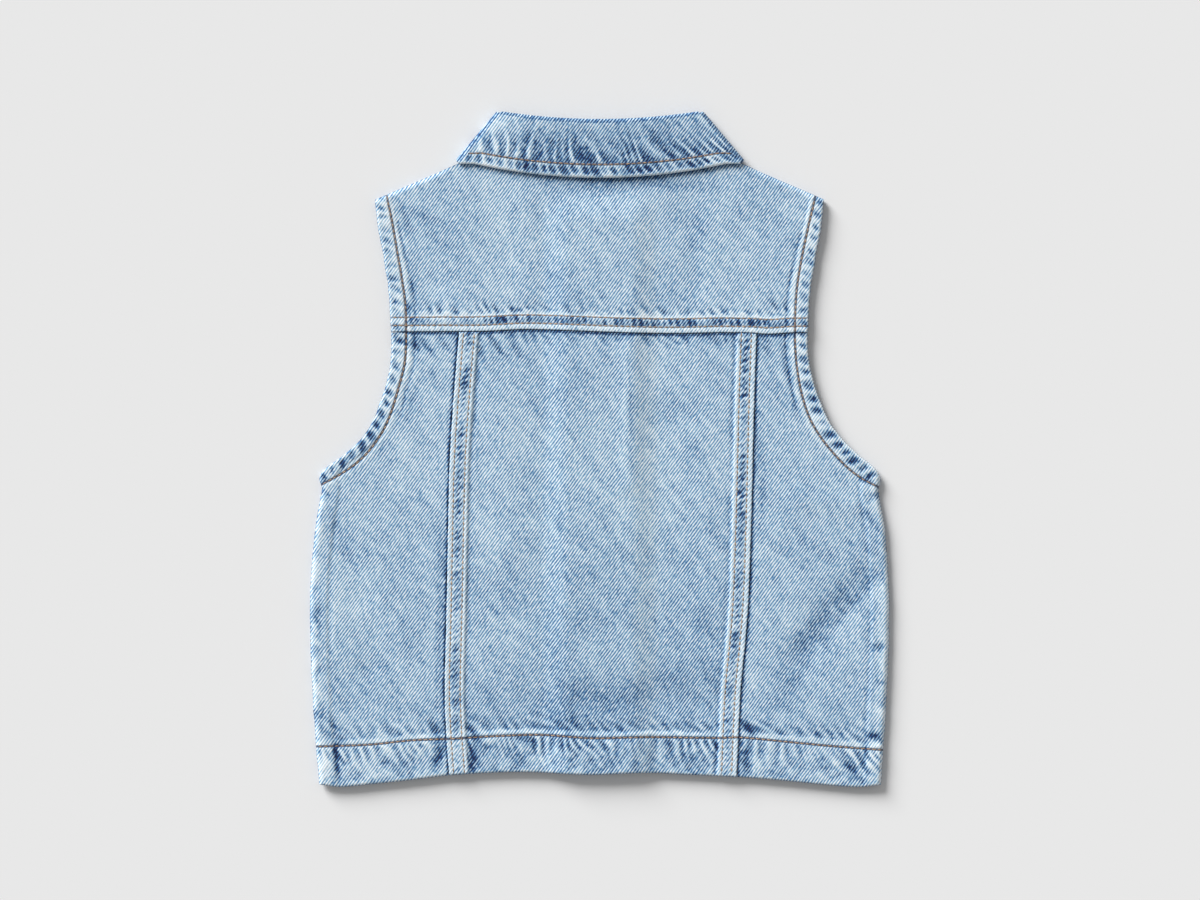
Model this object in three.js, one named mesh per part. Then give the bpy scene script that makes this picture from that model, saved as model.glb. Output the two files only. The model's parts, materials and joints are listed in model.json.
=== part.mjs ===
// A child's denim vest, laid flat on its front with its back up: yoke, centre and side panels,
// folded collar, plain fronts and metal buttons.
// Millimetres. +X is to the right as the back is seen, +Y runs towards the collar, +Z is up from
// the surface that the vest lies on. The origin is on that surface, at the middle of the outline.

import * as THREE from 'three';
import { mergeVertices } from 'three/addons/utils/BufferGeometryUtils.js';

// Cloth thicknesses and the gap between sewn pieces
const CLOTH = 1.2;
const COLLAR_CLOTH = 1.5;
const SEAM_GAP = 0.3;
const FRONT_NECK_GAP = 0.7;

// How high the laid layers lie
const BACK_LAID = 5.0;
const SIDE_SEAM_HEIGHT = 2.15;
const FRONT_OVER_COLLAR = 1.9;
const OUTER_LAP_HEIGHT = 2.05;
const UNDER_LAP_HEIGHT = 3.75;
const BACK_OVER_PLACKET = 2.0;
const BACK_OVER_HEM_LAP = 0.7;

// The placket: how far each front passes the centre line, and where the layers over it come down
const LAP = 15;
const LAP_FLAT = 18;
const OUTER_LAP_END = 31;
const UNDER_LAP_END = 36;
const PLACKET_TOP = { full: 136, gone: 158 };
const HEM_LAP = { gone: -165, full: -180 };

// Turned and felled edges: how wide each is, how much it stands up, and its step
const STRIP_WIDTH = 12.4;
const STRIP_RAISED = 0.7;
const YOKE_STRIP_WIDTH = 9.6;
const HEM_DEPTH = 25;
const HEM_RAISED = 0.3;
const HEM_INSIDE = 0.5;
const ARMHOLE_BAND = 9.5;
const SIDE_BAND = 11;
const BAND_RAISED = 0.35;
const STEP = 1.2;

// How the edges roll over
const SIDE_ROLL = 4;
const FRONT_SIDE_ROLL = 3;
const FREE_ROLL = 2.4;
const FREE_DROP = 1.9;
const FELLED_ROLL = 1.6;
const FELLED_DROP = 0.8;
const FRONT_FREE_ROLL = 2;
const FRONT_FREE_RISE = 1.5;
const LAP_EDGE_RISE = 0.8;

// The fronts are cut a little inside the back, so that nothing of them shows past it
const FRONT_ARMHOLE_INSET = 3;
const FRONT_INSET_RAMP = 26;
const FRONT_HEM_INSET = 1.6;

// Silhouette of the armholes and sides, from the shoulder tip down
const UNDERARM = -17;
const HEM_CORNER = -203;
const SHOULDER_TIP = 150.4;
const SILHOUETTE = [
  { y: 151, left: -135.2, right: 134.6 },
  { y: 132, left: -133.0, right: 132.6 },
  { y: 114, left: -129.6, right: 129.2 },
  { y: 96, left: -127.0, right: 126.3 },
  { y: 66, left: -125.3, right: 124.8 },
  { y: 51, left: -126.0, right: 125.9 },
  { y: 33, left: -130.4, right: 130.8 },
  { y: 15, left: -137.6, right: 139.0 },
  { y: 6, left: -144.0, right: 146.0 },
  { y: -3, left: -153.8, right: 155.2 },
  { y: -11, left: -164.6, right: 165.0 },
  { y: -17, left: -168.4, right: 168.2 },
  { y: -23, left: -167.0, right: 167.2 },
  { y: -30, left: -168.2, right: 168.0 },
  { y: -48, left: -171.0, right: 171.0 },
  { y: -84, left: -174.0, right: 173.4 },
  { y: -120, left: -173.8, right: 173.2 },
  { y: -156, left: -172.0, right: 171.6 },
  { y: -180, left: -170.2, right: 170.0 },
  { y: -203, left: -168.4, right: 168.6 },
];

// Folded edge of the centre panel over each side panel
const PANEL_SEAM = [
  { y: 72, left: -84.6, right: 94.3 },
  { y: 36, left: -87.6, right: 93.0 },
  { y: -6, left: -90.3, right: 91.9 },
  { y: -48, left: -91.3, right: 90.8 },
  { y: -98, left: -92.3, right: 88.8 },
  { y: -144, left: -93.3, right: 84.6 },
  { y: -169, left: -92.4, right: 83.3 },
  { y: -203, left: -90.0, right: 81.9 },
];

// Bottom edge
const HEM = [
  { x: -169, y: -200.6 },
  { x: -156, y: -202.2 },
  { x: -138, y: -200.6 },
  { x: -114, y: -198.1 },
  { x: -88, y: -195.0 },
  { x: -48, y: -193.3 },
  { x: -6, y: -194.8 },
  { x: 26, y: -193.8 },
  { x: 56, y: -195.0 },
  { x: 88, y: -196.6 },
  { x: 114, y: -198.8 },
  { x: 138, y: -201.2 },
  { x: 156, y: -202.3 },
  { x: 169, y: -200.8 },
];

// Soft folds of the laid back: a ridge or trough along a line, with its half width and height
const FOLDS = [
  { fromX: 18, fromY: 64, toX: 18, toY: -20, width: 6, height: 0.5 },
  { fromX: -36, fromY: -150, toX: 70, toY: -152, width: 13, height: -0.6 },
  { fromX: -160, fromY: -52, toX: -142, toY: -86, width: 8, height: -0.5 },
  { fromX: -166, fromY: -92, toX: -148, toY: -124, width: 8, height: 0.5 },
  { fromX: 162, fromY: -76, toX: 124, toY: -122, width: 12, height: -0.7 },
  { fromX: 150, fromY: -34, toX: 118, toY: -30, width: 7, height: 0.4 },
  { fromX: -45, fromY: 148, toX: -42, toY: 96, width: 9, height: 0.4 },
  { fromX: 54, fromY: 148, toX: 56, toY: 100, width: 9, height: -0.4 },
  { fromX: -120, fromY: 132, toX: -98, toY: 98, width: 8, height: -0.4 },
  { fromX: -60, fromY: 30, toX: -52, toY: -60, width: 12, height: 0.4 },
  { fromX: 58, fromY: 10, toX: 66, toY: -90, width: 12, height: 0.4 },
  { fromX: -130, fromY: -140, toX: -112, toY: -176, width: 8, height: 0.4 },
];

// Neck, shoulders and collar
const NECK_HALF = 77;
const NECK_CENTRE = 170.4;
const NECK_SIDE_RISE = 4.9;
const SHOULDER_SLOPE = 0.43;
const FRONT_NECK_CENTRE = 133;
const FRONT_NECK_POWER = 1.8;
const FOLD_CENTRE = 198.6;
const FOLD_RISE = 4.4;
const FOLD_RISE_AT = 58;
const FALL_EDGE_CENTRE = 163.2;
const FALL_EDGE_RISE = 9.4;
const FALL_EDGE_RISE_AT = 80;
const FALL_EDGE_MOST = 8.4;
const COLLAR_MIDDLE = 3.65;
const STAND_HALF_GAP = 0.25;
const FOLD_DEPTH = 3.4;
const FOLD_EXTRA = 1.3;
const COLLAR_TURN = { foldX: 58.9, foldY: 201.4, edgeX: 84.0, edgeY: 171.6, neckX: 76 };
const COLLAR_END = { foldX: 8, foldY: 147, pointX: 42, pointY: 95, neckX: 3 };
const COLLAR_ZONE = { margin: 7, ramp: 12, seamOff: 88, seamOn: 100 };

// How finely the collar is cut: stations along each stretch, round the fold, and down stand and fall
const FRONT_STEPS = 6;
const TURN_STEPS = 5;
const BACK_STEPS = 16;
const FOLD_STEPS = 5;
const STAND_SHARES = [1, 0.66, 0.33];
const FALL_SHARES = [0.25, 0.5, 0.75, 0.95, 1];

// Buttons down the centre front
const BUTTON_ROWS = [122, 50, -22, -94, -166];
const BUTTON_SIDES = 14;
const BUTTON_PROFILE = [
  { r: 0, z: 0 },
  { r: 6.6, z: 0 },
  { r: 7.5, z: 0.5 },
  { r: 7.5, z: 1.1 },
  { r: 6.8, z: 1.4 },
  { r: 2.2, z: 1.4 },
  { r: 2.2, z: 1.75 },
  { r: 0, z: 1.75 },
];

// Yoke seam: the folded lower edge of the yoke
const YOKE_SEAM_CENTRE = 71.2;
const YOKE_SEAM_SAG = 1.2;
const YOKE_SEAM_HALF = 125;

const denim = (color) => new THREE.MeshStandardMaterial({ color, roughness: 0.9, metalness: 0 });
const lightDenim = () => denim(0xa6bfd3);
const collarDenim = () => denim(0x7d97b3);
const buttonMetal = () => new THREE.MeshStandardMaterial({ color: 0x8a6a45, roughness: 0.4, metalness: 1 });

const mix = (a, b, share) => a + (b - a) * share;
const clamp01 = (value) => Math.min(1, Math.max(0, value));

function ease(from, to, value) {
  const share = clamp01((value - from) / (to - from));
  return share * share * (3 - 2 * share);
}

// Smooth curve through a table's rows: cubic between rows, with each slope taken across its neighbours
function through(rows, at, along, across) {
  const sorted = rows[0][along] < rows.at(-1)[along] ? rows : [...rows].reverse();
  const last = sorted.length - 1;
  let k = 0;
  while (k < last - 1 && sorted[k + 1][along] < at) k += 1;
  const slope = (i) => {
    const before = sorted[Math.max(0, i - 1)];
    const after = sorted[Math.min(last, i + 1)];
    return (after[across] - before[across]) / (after[along] - before[along]);
  };
  const [a, b] = [sorted[k], sorted[k + 1]];
  const span = b[along] - a[along];
  const s = clamp01((at - a[along]) / span);
  const bendA = slope(k) * span;
  const bendB = slope(k + 1) * span;
  const rise = b[across] - a[across];
  return a[across] + s * bendA + s * s * (3 * rise - 2 * bendA - bendB) + s ** 3 * (bendA + bendB - 2 * rise);
}

const leftEdge = (y) => through(SILHOUETTE, y, 'y', 'left');
const rightEdge = (y) => through(SILHOUETTE, y, 'y', 'right');
const leftSeam = (y) => through(PANEL_SEAM, y, 'y', 'left');
const rightSeam = (y) => through(PANEL_SEAM, y, 'y', 'right');
const hemEdge = (x) => through(HEM, x, 'x', 'y');
const yokeSeam = (x) => YOKE_SEAM_CENTRE - YOKE_SEAM_SAG * (x / YOKE_SEAM_HALF) ** 2;
const backNeck = (x) => NECK_CENTRE + NECK_SIDE_RISE * (x / NECK_HALF) ** 2;

function shoulder(x) {
  return backNeck(NECK_HALF) - SHOULDER_SLOPE * (Math.abs(x) - NECK_HALF);
}

function backTop(x) {
  return Math.abs(x) < NECK_HALF ? backNeck(x) : shoulder(x);
}

function frontNeck(x) {
  const out = Math.max(0, Math.abs(x) - COLLAR_END.neckX) / (NECK_HALF - COLLAR_END.neckX);
  return FRONT_NECK_CENTRE + (backNeck(NECK_HALF) - FRONT_NECK_CENTRE) * out ** FRONT_NECK_POWER;
}

function folds(x, y) {
  let height = 0;
  for (const fold of FOLDS) {
    const [dx, dy] = [fold.toX - fold.fromX, fold.toY - fold.fromY];
    const s = clamp01(((x - fold.fromX) * dx + (y - fold.fromY) * dy) / (dx * dx + dy * dy));
    const away = Math.hypot(x - fold.fromX - s * dx, y - fold.fromY - s * dy);
    height += fold.height * Math.exp(-((away / fold.width) ** 2));
  }
  return height;
}

// Height of the back's outer face: it rides up over the placket and the lapped hem
function backHeight(x, y) {
  const overLap = 1 - ease(LAP_FLAT, UNDER_LAP_END, Math.abs(x));
  const belowNeck = 1 - ease(PLACKET_TOP.full, PLACKET_TOP.gone, y);
  const inHem = 1 - ease(HEM_LAP.full, HEM_LAP.gone, y);
  return BACK_LAID + overLap * (BACK_OVER_PLACKET * belowNeck + BACK_OVER_HEM_LAP * inHem) + folds(x, y);
}

// How far a place is outside the part of the fronts that lies on the collar's fall
function outsideCollar(x, y) {
  const beyond = (fromX, fromY, toX, toY) => {
    const length = Math.hypot(toX - fromX, toY - fromY);
    return ((toY - fromY) * (Math.abs(x) - fromX) - (toX - fromX) * (y - fromY)) / length;
  };
  const pastEdge = beyond(COLLAR_END.pointX, COLLAR_END.pointY, COLLAR_TURN.edgeX, COLLAR_TURN.edgeY);
  const pastEnd = beyond(COLLAR_END.neckX, FRONT_NECK_CENTRE, COLLAR_END.pointX, COLLAR_END.pointY);
  return Math.max(0, pastEdge, pastEnd);
}

// Height of a front's outer face: on the surface, but over the collar's fall and over the buttons
function frontHeight(x, y, lapHeight, lapEnd, lapSide) {
  const { margin, ramp } = COLLAR_ZONE;
  const overCollar = FRONT_OVER_COLLAR * (1 - ease(margin, margin + ramp, outsideCollar(x, y)));
  const overButtons = lapHeight * (1 - ease(LAP_FLAT, lapEnd, lapSide * x));
  return Math.max(overCollar, overButtons);
}

// Stations across a panel: set distances from its two edges, and shares of the stretch between
function stations(nearStart, shares, nearEnd) {
  const inner = { fromStart: nearStart.at(-1), fromEnd: nearEnd.at(-1) };
  return [
    ...nearStart.map((fromStart) => ({ share: 0, fromStart, fromEnd: 0 })),
    ...shares.map((share) => ({ share, ...inner })),
    ...[...nearEnd].reverse().map((fromEnd) => ({ share: 1, fromStart: 0, fromEnd })),
  ];
}

function place(station, start, end) {
  return mix(start + station.fromStart, end - station.fromEnd, station.share);
}

const evenShares = (count) => Array.from({ length: count }, (_, i) => (i + 1) / (count + 1));

// Distances that follow a rolled edge's quarter round, then any steps further in
function rollSteps(radius, ...further) {
  return [0, 1, 2, 3].map((k) => radius * (1 - Math.cos((k * Math.PI) / 6))).concat(further);
}

// A closed mesh between an outer and an inner grid of points, with a rim round its four sides
function wall(outer, inner) {
  const columns = outer.length;
  const rows = outer[0].length;
  const positions = [];
  for (const grid of [outer, inner]) {
    for (const column of grid) {
      for (const point of column) positions.push(...point);
    }
  }
  const at = (layer, i, j) => layer * columns * rows + i * rows + j;
  const index = [];
  const quad = (a, b, c, d) => index.push(a, b, c, a, c, d);
  for (let i = 0; i + 1 < columns; i += 1) {
    for (let j = 0; j + 1 < rows; j += 1) {
      quad(at(0, i, j), at(0, i + 1, j), at(0, i + 1, j + 1), at(0, i, j + 1));
      quad(at(1, i, j), at(1, i, j + 1), at(1, i + 1, j + 1), at(1, i + 1, j));
    }
  }
  for (let i = 0; i + 1 < columns; i += 1) {
    quad(at(0, i + 1, 0), at(0, i, 0), at(1, i, 0), at(1, i + 1, 0));
    quad(at(0, i, rows - 1), at(0, i + 1, rows - 1), at(1, i + 1, rows - 1), at(1, i, rows - 1));
  }
  for (let j = 0; j + 1 < rows; j += 1) {
    quad(at(0, 0, j), at(0, 0, j + 1), at(1, 0, j + 1), at(1, 0, j));
    quad(at(0, columns - 1, j + 1), at(0, columns - 1, j), at(1, columns - 1, j), at(1, columns - 1, j + 1));
  }
  return closedGeometry(positions, index);
}

function closedGeometry(positions, index) {
  const geometry = new THREE.BufferGeometry();
  geometry.setAttribute('position', new THREE.Float32BufferAttribute(positions, 3));
  geometry.setIndex(signedVolume(positions, index) < 0 ? [...index].reverse() : index);
  geometry.computeVertexNormals();
  return geometry;
}

function signedVolume(positions, index) {
  const corner = (k) => new THREE.Vector3().fromArray(positions, 3 * index[k]);
  let volume = 0;
  for (let k = 0; k < index.length; k += 3) {
    volume += corner(k).dot(corner(k + 1).cross(corner(k + 2))) / 6;
  }
  return volume;
}

// A panel's wall: four edges, the height of its outer face, its raised bands and how its edges roll.
// facing is 1 where the outer face is up and -1 where it is down.
function panel({ edges, columns, rows, facing, height, raised, thickness, rolls }) {
  const { left, right, bottom, top, corners } = edges;
  const outer = [];
  const inner = [];
  for (const column of columns) {
    const bottomY = bottom(place(column, left(corners.bottomLeft), right(corners.bottomRight)));
    const topY = top(place(column, left(corners.topLeft), right(corners.topRight)));
    const outerColumn = [];
    const innerColumn = [];
    for (const row of rows) {
      const startX = left(place(row, corners.bottomLeft, corners.topLeft));
      const endX = right(place(row, corners.bottomRight, corners.topRight));
      const x = place(column, startX, endX);
      const y = place(row, bottomY, topY);
      const away = { left: x - startX, right: endX - x, bottom: y - bottomY, top: topY - y };
      const wallHere = thickness(away);
      let [drop, shiftX, shiftY, flatness] = [0, 0, 0, 1];
      for (const [side, pushX, pushY] of [['left', 1, 0], ['right', -1, 0], ['bottom', 0, 1], ['top', 0, -1]]) {
        const roll = rolls[side]?.(x, y);
        if (!roll || away[side] >= roll.radius) continue;
        const cosine = clamp01(1 - away[side] / roll.radius);
        const sine = Math.sqrt(1 - cosine * cosine);
        const full = Math.min(1, roll.drop / wallHere);
        drop = Math.max(drop, roll.drop * (1 - sine));
        shiftX += pushX * wallHere * cosine * full;
        shiftY += pushY * wallHere * cosine * full;
        flatness *= mix(1, sine, full);
      }
      const base = height(x, y) - facing * drop;
      outerColumn.push([x, y, base + facing * raised(away, y)]);
      innerColumn.push([x + shiftX, y + shiftY, base - facing * wallHere * flatness]);
    }
    outer.push(outerColumn);
    inner.push(innerColumn);
  }
  return wall(outer, inner);
}

// 1 below the underarm, where the side is a seam, and 0 above it, where it is the armhole's free edge
const sideSeamShare = (y) => 1 - ease(UNDERARM - 2, UNDERARM + 5, y);

const band = (distance, width, raised) => raised * (1 - ease(width - STEP, width, distance));
const outerBand = (distance, y) => band(distance, y > UNDERARM ? ARMHOLE_BAND : SIDE_BAND, BAND_RAISED);
const hemBand = (away) => band(away.bottom, HEM_DEPTH, HEM_RAISED);
const backWall = (away) => CLOTH + band(away.bottom, HEM_DEPTH, HEM_INSIDE);

// The back's side: down to the side seam below the underarm, a free edge at the armhole above it
function backSideRoll(x, y) {
  const seam = sideSeamShare(y);
  const toSeam = backHeight(x, y) - SIDE_SEAM_HEIGHT - SEAM_GAP / 2;
  return { radius: mix(FREE_ROLL, SIDE_ROLL, seam), drop: mix(FREE_DROP, toSeam, seam) };
}

const freeRoll = () => ({ radius: FREE_ROLL, drop: FREE_DROP });
const felledRoll = () => ({ radius: FELLED_ROLL, drop: FELLED_DROP });

// The shoulder seam runs in under the collar, where the two shoulders lie flat on each other
function shoulderRoll(x, y) {
  const open = ease(COLLAR_ZONE.seamOff, COLLAR_ZONE.seamOn, Math.abs(x));
  return { radius: SIDE_ROLL, drop: open * (backHeight(x, y) - SIDE_SEAM_HEIGHT - SEAM_GAP / 2) };
}

function backYoke() {
  const yokeBand = (away) => band(away.bottom, YOKE_STRIP_WIDTH, STRIP_RAISED);
  const armholeBand = (away) => band(Math.min(away.left, away.right), ARMHOLE_BAND, BAND_RAISED);
  const armhole = rollSteps(FREE_ROLL, ARMHOLE_BAND - STEP, ARMHOLE_BAND);
  return panel({
    edges: {
      left: leftEdge,
      right: rightEdge,
      bottom: yokeSeam,
      top: backTop,
      corners: {
        bottomLeft: yokeSeam(leftEdge(YOKE_SEAM_CENTRE)),
        bottomRight: yokeSeam(rightEdge(YOKE_SEAM_CENTRE)),
        topLeft: SHOULDER_TIP,
        topRight: SHOULDER_TIP,
      },
    },
    columns: stations(armhole, evenShares(17), armhole),
    rows: stations(
      rollSteps(FELLED_ROLL, YOKE_STRIP_WIDTH - STEP, YOKE_STRIP_WIDTH),
      evenShares(6),
      rollSteps(SIDE_ROLL),
    ),
    facing: 1,
    height: backHeight,
    raised: (away) => yokeBand(away) + armholeBand(away),
    thickness: () => CLOTH,
    rolls: { left: freeRoll, right: freeRoll, bottom: felledRoll, top: shoulderRoll },
  });
}

// Rows shared by the three lower panels: hem, then levels close together round the underarm
const PANEL_LEVELS = [-158, -140, -122, -104, -86, -68, -52, -38, -28, -22, -17, -12, -6, 0, 8, 18, 30, 44, 58];
const panelRows = () => {
  const hem = rollSteps(FREE_ROLL, HEM_DEPTH - STEP, HEM_DEPTH);
  const [low, high] = [hemEdge(leftEdge(HEM_CORNER)) + HEM_DEPTH, YOKE_SEAM_CENTRE - YOKE_SEAM_SAG];
  return stations(hem, PANEL_LEVELS.map((level) => (level - low) / (high - low)), [0]);
};

const hemCorner = (edge) => hemEdge(edge(HEM_CORNER));
const seamTop = (edge) => yokeSeam(edge(YOKE_SEAM_CENTRE)) - SEAM_GAP;

function backCentrePanel() {
  const strip = rollSteps(FELLED_ROLL, STRIP_WIDTH - STEP, STRIP_WIDTH);
  return panel({
    edges: {
      left: leftSeam,
      right: rightSeam,
      bottom: hemEdge,
      top: (x) => yokeSeam(x) - SEAM_GAP,
      corners: {
        bottomLeft: hemCorner(leftSeam),
        bottomRight: hemCorner(rightSeam),
        topLeft: seamTop(leftSeam),
        topRight: seamTop(rightSeam),
      },
    },
    columns: stations(strip, evenShares(13), strip),
    rows: panelRows(),
    facing: 1,
    height: backHeight,
    raised: (away) => hemBand(away) + band(Math.min(away.left, away.right), STRIP_WIDTH, STRIP_RAISED),
    thickness: backWall,
    rolls: { left: felledRoll, right: felledRoll, bottom: freeRoll },
  });
}

function backSidePanel(side) {
  const onLeft = side === 'left';
  const seam = onLeft ? (y) => leftSeam(y) - SEAM_GAP : (y) => rightSeam(y) + SEAM_GAP;
  const [left, right] = onLeft ? [leftEdge, seam] : [seam, rightEdge];
  const outerSteps = rollSteps(SIDE_ROLL, SIDE_BAND - STEP, SIDE_BAND);
  const columns = onLeft
    ? stations(outerSteps, evenShares(5), [0])
    : stations([0], evenShares(5), outerSteps);
  return panel({
    edges: {
      left,
      right,
      bottom: hemEdge,
      top: (x) => yokeSeam(x) - SEAM_GAP,
      corners: {
        bottomLeft: hemCorner(left),
        bottomRight: hemCorner(right),
        topLeft: seamTop(left),
        topRight: seamTop(right),
      },
    },
    columns,
    rows: panelRows(),
    facing: 1,
    height: backHeight,
    raised: (away, y) => hemBand(away) + outerBand(away[side], y),
    thickness: backWall,
    rolls: { [side]: backSideRoll, bottom: freeRoll },
  });
}

// A front, plain and face down: its side and shoulder roll up to the back, its other edges are free
function front(side) {
  const onLeft = side === 'left';
  const lapHeight = onLeft ? UNDER_LAP_HEIGHT : OUTER_LAP_HEIGHT;
  const lapEnd = onLeft ? UNDER_LAP_END : OUTER_LAP_END;
  const outward = onLeft ? -1 : 1;
  const edge = onLeft ? leftEdge : rightEdge;
  const height = (x, y) => frontHeight(x, y, lapHeight, lapEnd, outward);
  const inset = (y) => {
    const pastUnderarm = ease(UNDERARM, UNDERARM + FRONT_INSET_RAMP, y);
    return FRONT_ARMHOLE_INSET * pastUnderarm * (1 - ease(SHOULDER_TIP - FRONT_INSET_RAMP, SHOULDER_TIP, y));
  };
  const sideEdge = (y) => edge(y) - outward * inset(y);
  const lapEdge = () => -outward * LAP;
  const hem = (x) => hemEdge(x) + FRONT_HEM_INSET;
  const top = (x) => (outward * x > NECK_HALF ? shoulder(x) : frontNeck(outward * x > 0 ? x : 0) - FRONT_NECK_GAP);
  const sideRoll = (x, y) => {
    const seam = sideSeamShare(y);
    const toSeam = SIDE_SEAM_HEIGHT - SEAM_GAP / 2 - height(x, y);
    return { radius: mix(FRONT_FREE_ROLL, FRONT_SIDE_ROLL, seam), drop: mix(FRONT_FREE_RISE, toSeam, seam) };
  };
  const topRoll = (x, y) => {
    const open = ease(COLLAR_ZONE.seamOff, COLLAR_ZONE.seamOn, outward * x);
    return { radius: FRONT_SIDE_ROLL, drop: open * (SIDE_SEAM_HEIGHT - SEAM_GAP / 2 - height(x, y)) };
  };
  const sideSteps = rollSteps(FRONT_SIDE_ROLL);
  const lapSteps = rollSteps(FRONT_FREE_ROLL, ...LAP_COLUMNS.map((x) => LAP + x), LAP + lapEnd);
  const [left, right] = onLeft ? [sideEdge, lapEdge] : [lapEdge, sideEdge];
  const [sideKey, lapKey] = onLeft ? ['left', 'right'] : ['right', 'left'];
  const sideCorner = { bottom: hem(sideEdge(HEM_CORNER)), top: SHOULDER_TIP };
  const lapCorner = { bottom: hem(lapEdge()), top: top(lapEdge()) };
  const [leftCorner, rightCorner] = onLeft ? [sideCorner, lapCorner] : [lapCorner, sideCorner];
  return panel({
    edges: {
      left,
      right,
      bottom: hem,
      top,
      corners: {
        bottomLeft: leftCorner.bottom,
        bottomRight: rightCorner.bottom,
        topLeft: leftCorner.top,
        topRight: rightCorner.top,
      },
    },
    columns: onLeft
      ? stations(sideSteps, evenShares(9), lapSteps)
      : stations(lapSteps, evenShares(9), sideSteps),
    rows: stations(rollSteps(FRONT_FREE_ROLL), frontShares(), rollSteps(FRONT_SIDE_ROLL)),
    facing: -1,
    height,
    raised: () => 0,
    thickness: () => CLOTH,
    rolls: {
      [sideKey]: sideRoll,
      [lapKey]: () => ({ radius: FRONT_FREE_ROLL, drop: LAP_EDGE_RISE }),
      bottom: () => ({ radius: FRONT_FREE_ROLL, drop: LAP_EDGE_RISE }),
      top: topRoll,
    },
  });
}

// Columns across a front's lap, from the centre line
const LAP_COLUMNS = [COLLAR_END.neckX, 10, LAP_FLAT];

const FRONT_LEVELS = [-170, -130, -90, -52, -30, -22, -17, -12, -6, 2, 12, 30, 52, 74, 92, 106, 118, 130, 141];
const frontShares = () => {
  const [low, high] = [hemEdge(leftEdge(HEM_CORNER)), SHOULDER_TIP];
  return FRONT_LEVELS.map((level) => (level - low) / (high - low));
};

// Stations round the collar: across the back, round each side, and along each front to its end
function collarStations() {
  const list = [];
  const turn = COLLAR_TURN;
  const end = COLLAR_END;
  const outwardOf = (side) => {
    const [dx, dy] = [turn.edgeX - turn.foldX, turn.edgeY - turn.foldY];
    const length = Math.hypot(dx, dy);
    return [(-side * dy) / length, dx / length];
  };
  const atFront = (side, s) => {
    const neckX = mix(turn.neckX, end.neckX, s);
    return {
      fold: [side * mix(turn.foldX, end.foldX, s), mix(turn.foldY, end.foldY, s)],
      edge: [side * mix(turn.edgeX, end.pointX, s), mix(turn.edgeY, end.pointY, s)],
      neck: [side * neckX, frontNeck(neckX)],
      outward: outwardOf(side),
      angle: Math.PI,
      extra: 0,
    };
  };
  const atTurn = (side, angle) => ({
    fold: [side * turn.foldX, turn.foldY],
    edge: [side * turn.edgeX, turn.edgeY],
    neck: [side * turn.neckX, backNeck(turn.neckX) + SEAM_GAP],
    outward: outwardOf(side),
    angle,
    extra: 0,
  });
  const atBack = (u) => {
    const foldX = turn.foldX * u;
    const edgeX = turn.edgeX * u;
    const lift = Math.min(FALL_EDGE_RISE * (edgeX / FALL_EDGE_RISE_AT) ** 2, FALL_EDGE_MOST);
    return {
      fold: [foldX, FOLD_CENTRE + FOLD_RISE * (foldX / FOLD_RISE_AT) ** 2],
      edge: [edgeX, FALL_EDGE_CENTRE + lift],
      neck: [turn.neckX * u, backNeck(turn.neckX * u) + SEAM_GAP],
      outward: [0, 0],
      angle: 0,
      extra: FOLD_EXTRA * (1 - u ** 6),
    };
  };
  for (let k = FRONT_STEPS; k > 0; k -= 1) list.push(atFront(-1, k / FRONT_STEPS));
  for (let k = TURN_STEPS; k > 0; k -= 1) list.push(atTurn(-1, (Math.PI * k) / TURN_STEPS));
  for (let k = 0; k <= BACK_STEPS; k += 1) list.push(atBack((2 * k) / BACK_STEPS - 1));
  for (let k = 1; k <= TURN_STEPS; k += 1) list.push(atTurn(1, (Math.PI * k) / TURN_STEPS));
  for (let k = 1; k <= FRONT_STEPS; k += 1) list.push(atFront(1, k / FRONT_STEPS));
  return list;
}

// The collar's hairpin section at one station: stand, fold and fall, as outer and inner faces
function collarSection(station) {
  const { fold, edge, neck, outward, angle, extra } = station;
  const reach = (to) => Math.hypot(to[0] - fold[0], to[1] - fold[1]);
  const direction = (to) => [(to[0] - fold[0]) / reach(to), (to[1] - fold[1]) / reach(to)];
  const [standWay, fallWay] = [direction(neck), direction(edge)];
  const foldDepth = FOLD_DEPTH + extra;
  const radius = foldDepth / 2;
  const samples = [];
  for (const share of STAND_SHARES) {
    const along = mix(radius, reach(neck), share);
    samples.push({ way: standWay, out: [along, 0], into: [along, COLLAR_CLOTH] });
  }
  for (let k = 0; k <= FOLD_STEPS; k += 1) {
    const turn = (Math.PI * k) / FOLD_STEPS;
    const blend = k / FOLD_STEPS;
    const way = [mix(standWay[0], fallWay[0], blend), mix(standWay[1], fallWay[1], blend)];
    const arc = (r) => [radius - r * Math.sin(turn), radius - r * Math.cos(turn)];
    samples.push({ way, out: arc(radius), into: arc(radius - COLLAR_CLOTH) });
  }
  for (const share of FALL_SHARES) {
    const along = mix(radius, reach(edge), share);
    const depth = mix(foldDepth, FOLD_DEPTH, share);
    const rounded = share === 1 ? COLLAR_CLOTH / 3 : 0;
    samples.push({ way: fallWay, out: [along, depth - rounded], into: [along, depth - COLLAR_CLOTH] });
  }
  const toPoint = (way, [along, depth]) => {
    const lift = STAND_HALF_GAP + depth;
    return [
      fold[0] + way[0] * along + outward[0] * lift * Math.sin(angle),
      fold[1] + way[1] * along + outward[1] * lift * Math.sin(angle),
      COLLAR_MIDDLE + lift * Math.cos(angle),
    ];
  };
  return {
    outer: samples.map(({ way, out }) => toPoint(way, out)),
    inner: samples.map(({ way, into }) => toPoint(way, into)),
  };
}

function collar() {
  const sections = collarStations().map(collarSection);
  return wall(sections.map(({ outer }) => outer), sections.map(({ inner }) => inner));
}

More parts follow.
